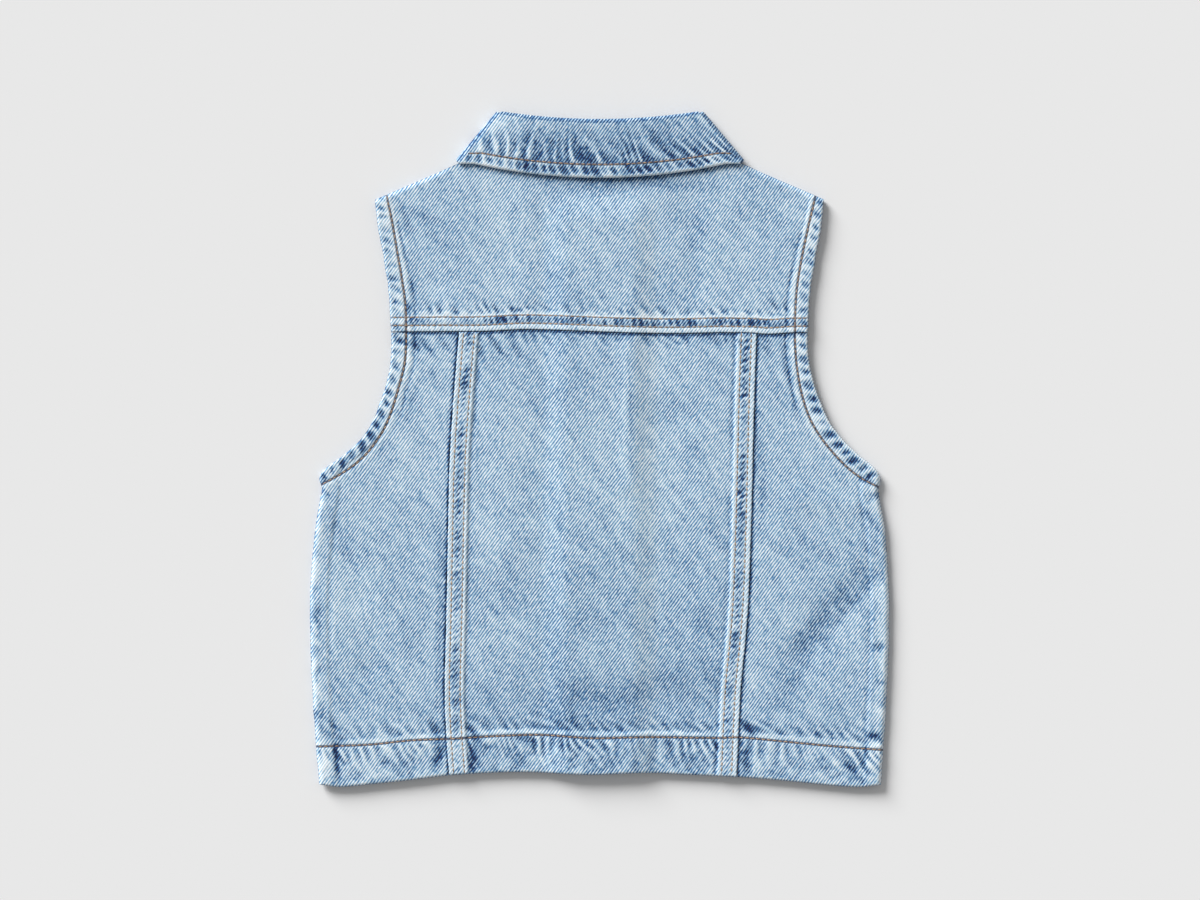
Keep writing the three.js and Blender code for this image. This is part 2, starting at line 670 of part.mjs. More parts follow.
function button() {
  const profile = BUTTON_PROFILE.map(({ r, z }) => new THREE.Vector2(r, z));
  const geometry = new THREE.LatheGeometry(profile, BUTTON_SIDES).rotateX(Math.PI / 2);
  geometry.deleteAttribute('uv');
  geometry.deleteAttribute('normal');
  return mergeVertices(geometry);
}

function add(group, name, geometry, material) {
  const mesh = new THREE.Mesh(geometry, material);
  mesh.name = name;
  group.add(mesh);
  return mesh;
}

const vest = new THREE.Group();
add(vest, 'back_yoke', backYoke(), lightDenim());
add(vest, 'back_centre_panel', backCentrePanel(), lightDenim());
add(vest, 'back_side_panel_left', backSidePanel('left'), lightDenim());
add(vest, 'back_side_panel_right', backSidePanel('right'), lightDenim());
add(vest, 'front_left', front('left'), lightDenim());
add(vest, 'front_right', front('right'), lightDenim());
add(vest, 'collar', collar(), collarDenim());
BUTTON_ROWS.forEach((y, k) => {
  const mesh = add(vest, `button_${k + 1}`, button(), buttonMetal());
  mesh.position.set(0, y, 0);
});

export default vest;
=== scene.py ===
"""A child's denim vest that lies flat with its back up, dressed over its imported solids.

Sizes and tables are in millimetres in the frame's axes: +X to the right of the back, +Y towards
the collar, +Z up from the surface that the vest lies on. Meshes are made in metres.
"""

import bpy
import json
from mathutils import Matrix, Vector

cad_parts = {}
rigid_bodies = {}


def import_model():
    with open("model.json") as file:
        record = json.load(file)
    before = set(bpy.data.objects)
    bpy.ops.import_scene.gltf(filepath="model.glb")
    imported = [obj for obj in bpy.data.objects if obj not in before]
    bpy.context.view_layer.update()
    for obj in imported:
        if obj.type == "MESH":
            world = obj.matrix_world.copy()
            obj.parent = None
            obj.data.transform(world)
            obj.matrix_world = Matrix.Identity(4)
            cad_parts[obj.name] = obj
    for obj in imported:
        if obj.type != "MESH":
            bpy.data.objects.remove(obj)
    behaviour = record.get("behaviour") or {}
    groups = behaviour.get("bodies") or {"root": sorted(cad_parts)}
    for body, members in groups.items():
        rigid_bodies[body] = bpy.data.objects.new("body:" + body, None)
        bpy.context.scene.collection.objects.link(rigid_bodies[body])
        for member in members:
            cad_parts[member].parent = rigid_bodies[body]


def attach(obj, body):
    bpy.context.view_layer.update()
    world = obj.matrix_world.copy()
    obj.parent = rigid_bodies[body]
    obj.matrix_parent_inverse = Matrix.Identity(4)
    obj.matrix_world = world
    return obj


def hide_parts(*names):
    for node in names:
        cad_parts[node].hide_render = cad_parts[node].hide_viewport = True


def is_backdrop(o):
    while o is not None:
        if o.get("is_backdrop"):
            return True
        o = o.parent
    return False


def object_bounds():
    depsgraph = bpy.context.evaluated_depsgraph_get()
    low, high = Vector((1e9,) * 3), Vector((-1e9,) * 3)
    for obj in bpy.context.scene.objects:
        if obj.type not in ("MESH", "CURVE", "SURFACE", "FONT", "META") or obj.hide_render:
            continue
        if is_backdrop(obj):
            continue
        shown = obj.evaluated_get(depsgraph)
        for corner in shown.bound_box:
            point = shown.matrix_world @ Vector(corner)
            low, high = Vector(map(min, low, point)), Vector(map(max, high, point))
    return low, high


bl_info = {
    "name": "Denim vest, laid flat",
    "version": (1, 0, 0),
    "blender": (4, 5, 0),
    "location": "View3D > Sidebar > Vest",
    "description": "Builds a washed denim vest with sewn seams, laid flat with its back up",
    "category": "Object",
}

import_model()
CAD_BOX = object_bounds()

import json
import math

import bpy
import numpy as np
from mathutils import Vector
from mathutils.bvhtree import BVHTree

MM = 0.001
BODY = "root"


def table(names, *rows):
    """A short table with named columns."""
    values = np.array(rows, float)
    return {name: values[:, k] for k, name in enumerate(names.split())}


# Cloth, gaps and the heights of the laid layers, as in the solids
CLOTH = 1.2
COLLAR_CLOTH = 1.5
SEAM_GAP = 0.3
FRONT_NECK_GAP = 0.7
BACK_LAID = 5.0
SIDE_SEAM_HEIGHT = 2.15
FRONT_OVER_COLLAR = 1.9
OUTER_LAP_HEIGHT = 2.05
UNDER_LAP_HEIGHT = 3.75
BACK_OVER_PLACKET = 2.0
BACK_OVER_HEM_LAP = 0.7
LAP = 15
LAP_FLAT = 18
OUTER_LAP_END = 31
UNDER_LAP_END = 36
PLACKET_TOP = (136, 158)
HEM_LAP = (-180, -165)

# What keeps the fronts' faces out of the surface's own plane
RESTS_ABOVE = 0.03

# Turned and felled edges
STRIP_WIDTH = 12.4
STRIP_RAISED = 0.7
YOKE_STRIP_WIDTH = 9.6
HEM_DEPTH = 25
HEM_RAISED = 0.3
ARMHOLE_BAND = 9.5
SIDE_BAND = 11
BAND_RAISED = 0.35
STEP = 1.2
SIDE_ROLL = 3
FRONT_SIDE_ROLL = 3
FREE_ROLL, FREE_DROP = 1.4, 1.5
FELLED_ROLL, FELLED_DROP = 0.9, 0.7
FRONT_FREE_ROLL, FRONT_FREE_RISE = 2, 1.5
LAP_EDGE_RISE = 0.8
FRONT_ARMHOLE_INSET = 3
FRONT_INSET_RAMP = 26
FRONT_HEM_INSET = 1.6

# Outline of the back
UNDERARM = -17
HEM_CORNER = -203
SHOULDER_TIP = 150.4
SILHOUETTE = table(
    "y left right",
    (151, -135.2, 134.6),
    (132, -133, 132.6),
    (114, -129.6, 129.2),
    (96, -127, 126.3),
    (66, -125.3, 124.8),
    (51, -126, 125.9),
    (33, -130.4, 130.8),
    (15, -137.6, 139),
    (6, -144, 146),
    (-3, -153.8, 155.2),
    (-11, -164.6, 165),
    (-17, -168.4, 168.2),
    (-23, -167, 167.2),
    (-30, -168.2, 168),
    (-48, -171, 171),
    (-84, -174, 173.4),
    (-120, -173.8, 173.2),
    (-156, -172, 171.6),
    (-180, -170.2, 170),
    (-203, -168.4, 168.6),
)
PANEL_SEAM = table(
    "y left right",
    (72, -84.6, 94.3),
    (36, -87.6, 93),
    (-6, -90.3, 91.9),
    (-48, -91.3, 90.8),
    (-98, -92.3, 88.8),
    (-144, -93.3, 84.6),
    (-169, -92.4, 83.3),
    (-203, -90, 81.9),
)
HEM = table(
    "x y",
    (-169, -200.6),
    (-156, -202.2),
    (-138, -200.6),
    (-114, -198.1),
    (-88, -195),
    (-48, -193.3),
    (-6, -194.8),
    (26, -193.8),
    (56, -195),
    (88, -196.6),
    (114, -198.8),
    (138, -201.2),
    (156, -202.3),
    (169, -200.8),
)
YOKE_SEAM_LEVEL = 71.2
YOKE_SEAM = table(
    "x y",
    (-127, 70.8),
    (-98, 71),
    (-70, 71.2),
    (-46, 72.3),
    (-26, 71.9),
    (-4, 71),
    (20, 70.2),
    (46, 69.9),
    (72, 70.4),
    (90, 70.2),
    (101, 69.5),
    (113, 70.2),
    (127, 70.6),
)

# Soft folds of the laid back, as in the solids: a line, its half width and its height
FOLDS = table(
    "from_x from_y to_x to_y width height",
    (18, 64, 18, -20, 6, 0.5),
    (-36, -150, 70, -152, 13, -0.6),
    (-160, -52, -142, -86, 8, -0.5),
    (-166, -92, -148, -124, 8, 0.5),
    (162, -76, 124, -122, 12, -0.7),
    (150, -34, 118, -30, 7, 0.4),
    (-45, 148, -42, 96, 9, 0.4),
    (54, 148, 56, 100, 9, -0.4),
    (-120, 132, -98, 98, 8, -0.4),
    (-60, 30, -52, -60, 12, 0.4),
    (58, 10, 66, -90, 12, 0.4),
    (-130, -140, -112, -176, 8, 0.4),
)

# Neck, shoulders and collar
NECK_HALF, NECK_CENTRE, NECK_SIDE_RISE = 77, 170.4, 4.9
SHOULDER_SLOPE = 0.43
FRONT_NECK_CENTRE, FRONT_NECK_POWER = 133, 1.8
FOLD_CENTRE, FOLD_RISE, FOLD_RISE_AT = 198.6, 4.4, 58
FALL_EDGE_CENTRE, FALL_EDGE_RISE, FALL_EDGE_RISE_AT, FALL_EDGE_MOST = 163.2, 9.4, 80, 8.4
COLLAR_MIDDLE, STAND_HALF_GAP, FOLD_DEPTH, FOLD_EXTRA = 3.65, 0.25, 3.4, 1.3
TURN_FOLD, TURN_EDGE, TURN_NECK_X = (58.9, 201.4), (84, 171.6), 76
END_FOLD, END_POINT, END_NECK_X = (8, 147), (42, 95), 3
COLLAR_MARGIN, COLLAR_RAMP = 7, 12
SHOULDER_SEAM_OFF, SHOULDER_SEAM_ON = 88, 100

# Rows of stitches. Felled seams have two rows, at these distances from the folded edge.
YOKE_ROWS = (3.8, 8.7)
STRIP_ROWS_LEFT = (2.9, 9.4)
STRIP_ROWS_RIGHT = (3.4, 9.4)
COLLAR_ROW = 8.0
PLACKET_ROW = 5.0
HEM_ROW = table(
    "x y",
    (-171, -178),
    (-138, -176.8),
    (-113, -174.2),
    (-92, -173.4),
    (-60, -171.6),
    (-34, -171),
    (-5, -172.8),
    (24, -172.3),
    (71, -172.8),
    (83, -172.4),
    (113, -175.2),
    (138, -177.6),
    (171, -180.1),
)
ARMHOLE_ROW_LEFT = table(
    "x y",
    (-128.4, 154.5),
    (-124.8, 137.4),
    (-121.2, 116.4),
    (-118.8, 102.6),
    (-116.6, 86.4),
    (-116.3, 69.6),
    (-116.6, 57),
    (-117.8, 48.6),
    (-121.2, 36),
    (-125.4, 22.2),
    (-130.2, 11.4),
    (-138, 0),
    (-146.4, -8.2),
    (-155.4, -14.4),
    (-167.4, -21),
)
ARMHOLE_ROW_RIGHT = table(
    "x y",
    (129.8, 154),
    (124.2, 130.2),
    (119.4, 105.6),
    (117.6, 90.6),
    (117, 70.8),
    (117.5, 57),
    (118.6, 46.8),
    (121.2, 33.6),
    (125.6, 19.8),
    (131.6, 9),
    (140, -1.8),
    (149, -11),
    (157.6, -17.4),
    (167.2, -22.4),
)

# Darker and paler places painted on the cloth, mostly by the wash and in a few rows painted shade or light:
# centre, half length, half width, heading in degrees, and the worn or shaded amount
PATCHES = table(
    "x y long wide turn wear",
    (-163.5, -190, 10, 3.6, 92, 0.4),
    (163.5, -189, 9, 3.4, 88, 0.35),
    (-162, -128, 34, 3, 86, 0.16),
    (-158, -187, 9, 1.5, 96, -1),
    (-157.5, -178, 4.5, 1.8, 70, -1),
    (-154.5, -186, 6, 1.6, -35, -0.6),
    (-96, -180, 9, 2.2, 88, -1),
    (-100, -166, 6, 1.8, -40, -0.8),
    (-76.6, -184, 9, 2, 92, -1.1),
    (-75.5, -170, 6, 1.8, -62, -1),
    (-70, -176, 4, 1.4, -40, -0.5),
    (70, -180, 9, 1.4, 84, -0.8),
    (87.5, -184, 9, 2.2, 96, -1.1),
    (90, -168, 5, 2, -58, -1),
    (159.5, -182, 8, 1.6, 84, -0.9),
    (150, -190, 10, 1.6, -52, -1),
    (165, -171, 5, 2, 12, -0.8),
    (-172, -86, 7, 2.4, 78, -0.7),
    (-170, -100, 9, 3.4, 84, -0.6),
    (-169, -132, 3, 1.8, 60, -0.6),
    (-168, -158, 5, 3, 80, -0.7),
    (-160, -165, 6, 2, -50, -0.6),
    (-164, -26, 5, 2, -40, -0.6),
    (-160, -42, 14, 3, -62, -0.3),
    (-150, -66, 10, 3, -60, -0.3),
    (165, -28, 4.5, 2.2, 20, -0.8),
    (161, -40, 9, 2.6, -60, -0.4),
    (169, -62, 7, 2.4, -70, -0.4),
    (168, -118, 4, 2.4, 10, -0.7),
    (169, -140, 3.4, 2, 20, -0.5),
    (140, -92, 26, 7, 50, -0.32),
    (124, -114, 18, 6, 60, -0.35),
    (118, -136, 16, 5, 60, -0.25),
    (0, -148, 30, 9, 4, -0.3),
    (44, -140, 28, 9, 12, -0.12),
    (60, -104, 26, 9, 80, -0.05),
    # Painted shade along the centre fold, and painted light on its lit left side
    (18.5, 24, 40, 1.5, 90, -0.25),
    (14.5, 24, 40, 2.2, 90, 0.08),
    (-114.3, 83, 7, 1.3, 98, -1.3),
    (-112.6, 98, 9, 1.1, 99, -0.7),
    (-110.4, 78.5, 2.2, 1, -50, -0.8),
    (-117, 140, 8, 2, -70, -0.4),
    (-104, 140, 14, 4, -24, -0.25),
    (-92, 124, 12, 4, -30, -0.2),
    (58, 128, 22, 5, 84, -0.2),
    (112, 84, 5, 1.8, -60, -0.6),
    (104, 87, 5, 1.6, -60, -0.5),
    (-62, 84, 6, 1.4, -60, -0.7),
    (-52, 83, 6, 1.3, -62, -0.6),
    (-86, 82, 4, 1.2, -60, -0.4),
    (-118, 64.5, 7, 2, -25, -0.9),
    (-110, 62.5, 4.5, 1.6, -50, -0.8),
    (-103, 61, 6, 1.6, -48, -0.7),
    (-93, 62.5, 4.5, 1.6, -42, -0.6),
    (-72, 60, 6, 2, -72, -0.6),
    (-60.5, 61, 7, 1.6, -52, -0.7),
    (-50, 60, 6, 2.2, -55, -0.6),
    (-30, 65, 3.5, 1.5, -55, -0.5),
    (2, 66, 3.5, 1.5, -60, -0.5),
    (28, 65, 4, 1.5, -60, -0.5),
    (52, 65, 4, 1.5, -60, -0.5),
    (100, 60, 7, 1.8, -55, -0.5),
    (84, 64, 3, 1.4, -60, -0.6),
    (113, 45, 22, 1.3, -78, -0.5),
    (-112, 30, 20, 2, 70, -0.22),
    (98, -20, 26, 3, 88, -0.25),
    (-96.5, -110, 60, 1.8, 89, -0.3),
    (-66, -40, 30, 8, 80, 0.12),
    (-120, 0, 26, 8, -60, 0.12),
    # Painted shadow of the collar's fall on the yoke, over the unwashed blue under it
    (0, 157, 22, 3.5, 0, -0.35),
    (30, 160, 34, 3.6, -4, -0.36),
    (-128, 144, 10, 6, 98, 0.22),
    (127, 142, 12, 6, 82, 0.22),
    (161, -18, 5.5, 2.4, -10, -0.9),
    # Painted shadow beside the fold on the right side panel
    (151, -93, 24, 2.6, 52, -0.42),
    (-132, -130, 34, 24, 0, -0.09),
    (-62, -112, 26, 16, 0, 0.12),
    (-26, -60, 14, 34, 0, 0.08),
    (44, 8, 18, 24, 0, -0.07),
    (104, -152, 22, 9, -12, -0.14),
    (-20, -160, 14, 9, 0, -0.14),
    (-86, -150, 5, 4, 0, -0.7),
    (-86, -78, 4, 4, 0, -0.3),
    (-24, -177, 5, 4, 0, -0.45),
    (6, -170, 30, 5, 0, -0.13),
    (-90, 83, 28, 3, 0, 0.22),
    (12, 77, 18, 3.4, 0, 0.3),
    (119, 79, 8, 4, 0, 0.25),
)

# Buttons down the centre front
BUTTON_ROWS = (122, 50, -22, -94, -166)
BUTTON_PROFILE = table(
    "r z",
    (0, 0.45),
    (2, 0.4),
    (3.4, 0.1),
    (4, 0.32),
    (4.6, 0.1),
    (5.4, 0),
    (6.6, 0.02),
    (7.2, 0.22),
    (7.5, 0.6),
    (7.4, 1),
    (7, 1.35),
    (6.2, 1.45),
    (2.2, 1.45),
    (2.2, 1.8),
    (0, 1.8),
)

# The photograph's frame: what it spans on the surface, and the long lens that looks straight down
FRAME_WIDTH = 720
CAMERA_HEIGHT = 2600
SENSOR = 36

# Painted shade and light along the free edges, and how wide it is. The edges that face the light, at the left
# and the top, are painted darker; those in shade at the right are painted paler, together with a worn pale
# rim.
LIT_EDGE_SHADE, SHADED_EDGE_LIGHT_AND_RUB = -0.1, 0.6
EDGE_RUB_LIGHT_AND_SHADE_WIDTH = (0.2, 1.3)

# How fine the meshes are, and how far from an edge the rows of a turned margin lie
FINE = 0.85
COARSE = 2.6
MARGIN_UNDER = (11, 8, 5, 3, 1.6, 0.7, 0)
SHORT_MARGIN = (4, 0)

# How strongly the sewing shows in the wash, and the wear that is given to whole faces and bands
SEAM_CONTRAST = 1.3
UPRIGHT_WEAR = -1.0
REVERSE_WEAR = 0.5
UNDER_YOKE_WEAR, UNDER_STRIP_WEAR = -1.6, -1.5
COVERS = 0.85
FAR_FROM_ROW = 3.0

# The part of the hem and of the yoke's edge that is roped most
HEM_MIDDLE = (-78, 66, 8)
YOKE_MIDDLE = (-72, 96, 8)


# Fields


def each(rows):
    """A table's rows, one by one."""
    for values in zip(*rows.values()):
        yield dict(zip(rows, values))


def ease(low, high, value):
    """0 below low, 1 above high, and smooth between them."""
    share = np.clip((value - low) / (high - low), 0.0, 1.0)
    return share * share * (3 - 2 * share)


def mix(a, b, share):
    return a + (b - a) * share


def hill(value, centre, half):
    return np.exp(-(((value - centre) / half) ** 2))


def within(value, low, high, soft):
    return ease(low - soft, low + soft, value) * (1 - ease(high - soft, high + soft, value))


def through(rows, along, across, at):
    """A smooth curve through a table's rows, with each slope taken across its neighbours."""
    order = np.argsort(rows[along])
    a, b = rows[along][order], rows[across][order]
    ahead, behind = np.minimum(np.arange(len(a)) + 1, len(a) - 1), np.maximum(np.arange(len(a)) - 1, 0)
    slope = (b[ahead] - b[behind]) / (a[ahead] - a[behind])
    at = np.clip(at, a[0], a[-1])
    k = np.clip(np.searchsorted(a, at, side="right") - 1, 0, len(a) - 2)
    span = a[k + 1] - a[k]
    s = (at - a[k]) / span
    bend, bend_next, rise = slope[k] * span, slope[k + 1] * span, b[k + 1] - b[k]
    return b[k] + s * bend + s**2 * (3 * rise - 2 * bend - bend_next) + s**3 * (bend + bend_next - 2 * rise)


def curve(rows, along, across):
    return lambda at: through(rows, along, across, at)


def lattice(i, j, seed):
    """A fixed random number from 0 to 1 for each whole i and j."""
    h = (i.astype(np.int64) * 374761393 + j.astype(np.int64) * 668265263 + seed * 1274126177) & 0xFFFFFFFF
    h = ((h ^ (h >> 13)) * 1274126177) & 0xFFFFFFFF
    h = ((h ^ (h >> 15)) * 668265263) & 0xFFFFFFFF
    return ((h >> 7) & 0xFFFF) / 65535.0


def noise(x, y, seed):
    """Smooth noise from -1 to 1, with one swell for each unit of x and y."""
    x, y = np.broadcast_arrays(np.asarray(x, float), np.asarray(y, float))
    i, j = np.floor(x), np.floor(y)
    u, v = ease(0, 1, x - i), ease(0, 1, y - j)
    low = mix(lattice(i, j, seed), lattice(i + 1, j, seed), u)
    high = mix(lattice(i, j + 1, seed), lattice(i + 1, j + 1, seed), u)
    return 2 * mix(low, high, v) - 1


hem_edge = curve(HEM, "x", "y")
yoke_seam = curve(YOKE_SEAM, "x", "y")


def under_yoke(x):
    return yoke_seam(x) - SEAM_GAP


def back_neck(x):
    return NECK_CENTRE + NECK_SIDE_RISE * (x / NECK_HALF) ** 2


def shoulder(x):
    return back_neck(NECK_HALF) - SHOULDER_SLOPE * (np.abs(x) - NECK_HALF)


def back_top(x):
    return np.where(np.abs(x) < NECK_HALF, back_neck(x), shoulder(x))


def fold_line(x):
    """The collar's fold, across the back."""
    return FOLD_CENTRE + FOLD_RISE * (x / FOLD_RISE_AT) ** 2


def fall_edge(x):
    """The lower edge of the collar's fall, across the back."""
    return FALL_EDGE_CENTRE + np.minimum(FALL_EDGE_RISE * (x / FALL_EDGE_RISE_AT) ** 2, FALL_EDGE_MOST)


def front_neck(x):
    out = np.clip(np.abs(x) - END_NECK_X, 0, None) / (NECK_HALF - END_NECK_X)
    return FRONT_NECK_CENTRE + (back_neck(NECK_HALF) - FRONT_NECK_CENTRE) * out**FRONT_NECK_POWER


def folds(x, y):
    height = 0.0
    for fold in each(FOLDS):
        dx, dy = fold["to_x"] - fold["from_x"], fold["to_y"] - fold["from_y"]
        s = np.clip(((x - fold["from_x"]) * dx + (y - fold["from_y"]) * dy) / (dx * dx + dy * dy), 0, 1)
        away = np.hypot(x - fold["from_x"] - s * dx, y - fold["from_y"] - s * dy)
        height = height + fold["height"] * hill(away, 0, fold["width"])
    return height


def back_height(x, y):
    """Height of the back's outer face, which rides up over the placket and the lapped hem."""
    over_lap = 1 - ease(LAP_FLAT, UNDER_LAP_END, np.abs(x))
    below_neck = 1 - ease(*PLACKET_TOP, y)
    in_hem = 1 - ease(*HEM_LAP, y)
    ride = over_lap * (BACK_OVER_PLACKET * below_neck + BACK_OVER_HEM_LAP * in_hem)
    return BACK_LAID + ride + folds(x, y)


def front_height(x, y, lap_height, lap_end, outward):
    """Height of a front's outer face: on the surface, but over the collar's fall and the buttons."""

    def beyond(start, end):
        dx, dy = end[0] - start[0], end[1] - start[1]
        return (dy * (np.abs(x) - start[0]) - dx * (y - start[1])) / math.hypot(dx, dy)

    outside = np.maximum(beyond(END_POINT, TURN_EDGE), beyond((END_NECK_X, FRONT_NECK_CENTRE), END_POINT))
    over_collar = FRONT_OVER_COLLAR * (1 - ease(COLLAR_MARGIN, COLLAR_MARGIN + COLLAR_RAMP, outside))
    over_buttons = lap_height * (1 - ease(LAP_FLAT, lap_end, outward * x))
    return np.maximum(np.maximum(over_collar, over_buttons), RESTS_ABOVE)


# Seams


class Seam:
    """A line on the cloth. A place's distance across it is positive on the left of its direction."""

    PLACES_AT_ONCE = 20000

    def __init__(self, x, y):
        self.points = np.column_stack((x, y))
        steps = np.diff(self.points, axis=0)
        self.lengths = np.hypot(steps[:, 0], steps[:, 1])
        self.ways = steps / self.lengths[:, None]
        self.starts = np.concatenate(([0.0], np.cumsum(self.lengths)))
        self.length = self.starts[-1]

    def measure(self, x, y):
        """How far along and across the seam each place is."""
        shape = np.shape(x)
        places = np.column_stack((np.ravel(x), np.ravel(y)))
        along, across = np.empty(len(places)), np.empty(len(places))
        for start in range(0, len(places), self.PLACES_AT_ONCE):
            part = slice(start, start + self.PLACES_AT_ONCE)
            offset = places[part, None, :] - self.points[None, :-1, :]
            forward = (offset * self.ways).sum(2)
            clipped = np.clip(forward, 0, self.lengths)
            side = self.ways[:, 0] * offset[:, :, 1] - self.ways[:, 1] * offset[:, :, 0]
            distance = np.hypot(forward - clipped, side)
            best = distance.argmin(1)
            rows = np.arange(len(best))
            along[part] = self.starts[best] + clipped[rows, best]
            across[part] = np.copysign(distance[rows, best], side[rows, best])
        return along.reshape(shape), across.reshape(shape)

    def at(self, along):
        k = np.clip(np.searchsorted(self.starts, along, side="right") - 1, 0, len(self.lengths) - 1)
        return self.points[k] + self.ways[k] * (along - self.starts[k])[:, None]

    def beside(self, distance):
        """The line that runs at a distance on the left of this one."""
        way = np.gradient(self.points, axis=0)
        way /= np.hypot(way[:, 0], way[:, 1])[:, None]
        return Seam(self.points[:, 0] - way[:, 1] * distance, self.points[:, 1] + way[:, 0] * distance)


SEAM_POINTS = 120


def seam_through(rows):
    """A seam through a table's points, evenly stepped."""
    x, y = rows["x"], rows["y"]
    travelled = np.concatenate(([0.0], np.cumsum(np.hypot(np.diff(x), np.diff(y)))))
    path = {"s": travelled, "x": x, "y": y}
    s = np.linspace(0, travelled[-1], SEAM_POINTS)
    return Seam(through(path, "s", "x", s), through(path, "s", "y", s))


def seam_across(line, half, count=SEAM_POINTS):
    x = np.linspace(-half, half, count)
    return Seam(x, line(x))


YOKE_EDGE = seam_across(yoke_seam, 126, 400)
HEM_LINE = seam_across(hem_edge, 169)
HEM_STITCH = seam_through(HEM_ROW)


class Side:
    """One side of the back. Each of its lines runs with the cloth that it edges on its left."""

    def __init__(self, name, outward, armhole_row, strip_rows, rubbed, tone, seed):
        self.name, self.outward = name, outward
        self.edge, self.seam = curve(SILHOUETTE, "y", name), curve(PANEL_SEAM, "y", name)
        self.strip = self.line(self.seam, PANEL_SEAM["y"][0], HEM_CORNER)
        self.armhole = self.line(self.edge, SHOULDER_TIP, UNDERARM)
        self.side_seam = self.line(self.edge, UNDERARM, HEM_CORNER)
        self.armhole_row = seam_through({key: rows[::-outward] for key, rows in armhole_row.items()})
        self.strip_rows = strip_rows
        self.rubbed, self.tone, self.seed = rubbed, tone, seed

    def ordered(self, outer, inner):
        """Two things as they come from left to right, or along a line of this side."""
        return (outer, inner) if self.outward < 0 else (inner, outer)

    def line(self, edge, top, bottom):
        y = np.linspace(*self.ordered(top, bottom), SEAM_POINTS)
        return Seam(edge(y), y)


LEFT = Side("left", -1, ARMHOLE_ROW_LEFT, STRIP_ROWS_LEFT, LIT_EDGE_SHADE, tone=0.0, seed=81)
RIGHT = Side("right", 1, ARMHOLE_ROW_RIGHT, STRIP_ROWS_RIGHT, SHADED_EDGE_LIGHT_AND_RUB, tone=-0.02, seed=91)

# Added to a side's seed for its felled seam, its side seam, and the fold on its inner edge
STRIP_SEED, SIDE_SEED, FOLD_SEED = 20, 40, 42


def ropes(along, across, period, slant, seed, sharp=1.3, steady=2.2):
    """Slanted ridges beside a row: 1 along a ridge and -1 between them, each unlike the next."""
    drift = 0.9 * noise(along / (1.9 * period), across / (steady * period), seed)
    phase = (along + slant * across) / period + drift
    swell = (0.5 + 0.5 * np.cos(2 * math.pi * phase)) ** sharp
    which = np.round(phase)
    size = 0.35 + 0.65 * lattice(which, np.zeros_like(which), seed + 5)
    broken = 0.3 * noise(along / (0.45 * period), across / (0.5 * period), seed + 6)
    return (2 * swell - 1) * size + broken


def spots(along, across, period, long, wide, slant, seed):
    """Separate unwashed spots beside a row: 1 in a spot's middle, each with its place, size and depth."""
    phase = (along + slant * across) / period + 0.4 * noise(along / (2.5 * period), 0.5, seed)
    which = np.floor(phase)
    zero = np.zeros_like(which)
    chance = [lattice(which, zero, seed + k) for k in range(1, 5)]
    middle = 0.5 + 0.24 * (chance[0] - 0.5)
    far_along = (phase - which - middle) * period / (wide * (0.7 + 0.6 * chance[1]))
    far_across = (across + 1.2 * (chance[2] - 0.5)) / (long * (0.7 + 0.5 * chance[1]))
    depth = np.clip(0.45 + 0.7 * chance[3], 0, 1)
    return depth * np.exp(-np.abs(far_along) ** 2.4 - np.abs(far_across) ** 3)


class Cloth:
    """What the wash, the sewing and painted light and shade do to a stretch of cloth: how worn and shaded it
    looks, relief, and distance to a row.
    """

    def __init__(self, x, y):
        self.x, self.y = x, y
        u, v = 0.62 * x - 0.78 * y, 0.78 * x + 0.62 * y
        cloud = 0.08 * noise(x / 31, y / 31, 11) + 0.06 * noise(x / 13, y / 13, 12)
        cloud = cloud + 0.08 * noise(x / 3.6, y / 4.2, 16)
        streaks = 0.1 * noise(u / 19, v / 3.4, 13) + 0.15 * noise(u / 8, v / 2.1, 14)
        self.wear = cloud + streaks
        self.relief = 0.1 * noise(x / 17, y / 17, 15) + 0.05 * noise(u / 12, v / 4.2, 13)
        self.row = np.full(np.shape(x), FAR_FROM_ROW)

    def stitched(self, distance, shown=1.0):
        """A row of stitches at this distance pulls the cloth down."""
        self.row = np.minimum(self.row, np.abs(distance) + FAR_FROM_ROW * (1 - shown))
        self.relief = self.relief - 0.28 * shown * hill(distance, 0, 0.8)

    def shade(self, amount, relief=0.0):
        self.wear = self.wear + SEAM_CONTRAST * amount
        self.relief = self.relief + relief * amount

    def over(self, mask, wear, relief=None):
        """Inside the mask, the worn and shaded value is this and nothing else."""
        self.wear = mix(self.wear, wear, mask)
        if relief is not None:
            self.relief = mix(self.relief, relief, mask)


def placket_painted_light(cloth):
    """Painted light and shade that even out the light on the slopes beside the placket that the back lies on.
    """
    slopes = 0.1 * hill(cloth.x, 29, 7) - 0.09 * hill(cloth.x, -23, 9)
    cloth.shade(slopes * (1 - ease(*PLACKET_TOP, cloth.y)))


def patches(cloth):
    for k, patch in enumerate(each(PATCHES)):
        turn = math.radians(patch["turn"])
        dx, dy = cloth.x - patch["x"], cloth.y - patch["y"]
        along, across = dx * math.cos(turn) + dy * math.sin(turn), dy * math.cos(turn) - dx * math.sin(turn)
        across = across + 0.35 * patch["wide"] * noise(along / 3.1, k * 3.7, 21)
        spot = np.exp(-((along / patch["long"]) ** 2) - (across / patch["wide"]) ** 2)
        cloth.shade(patch["wear"] * spot * (1 + 0.3 * noise(cloth.x / 2.4, cloth.y / 2.4, 22)), 0.35)


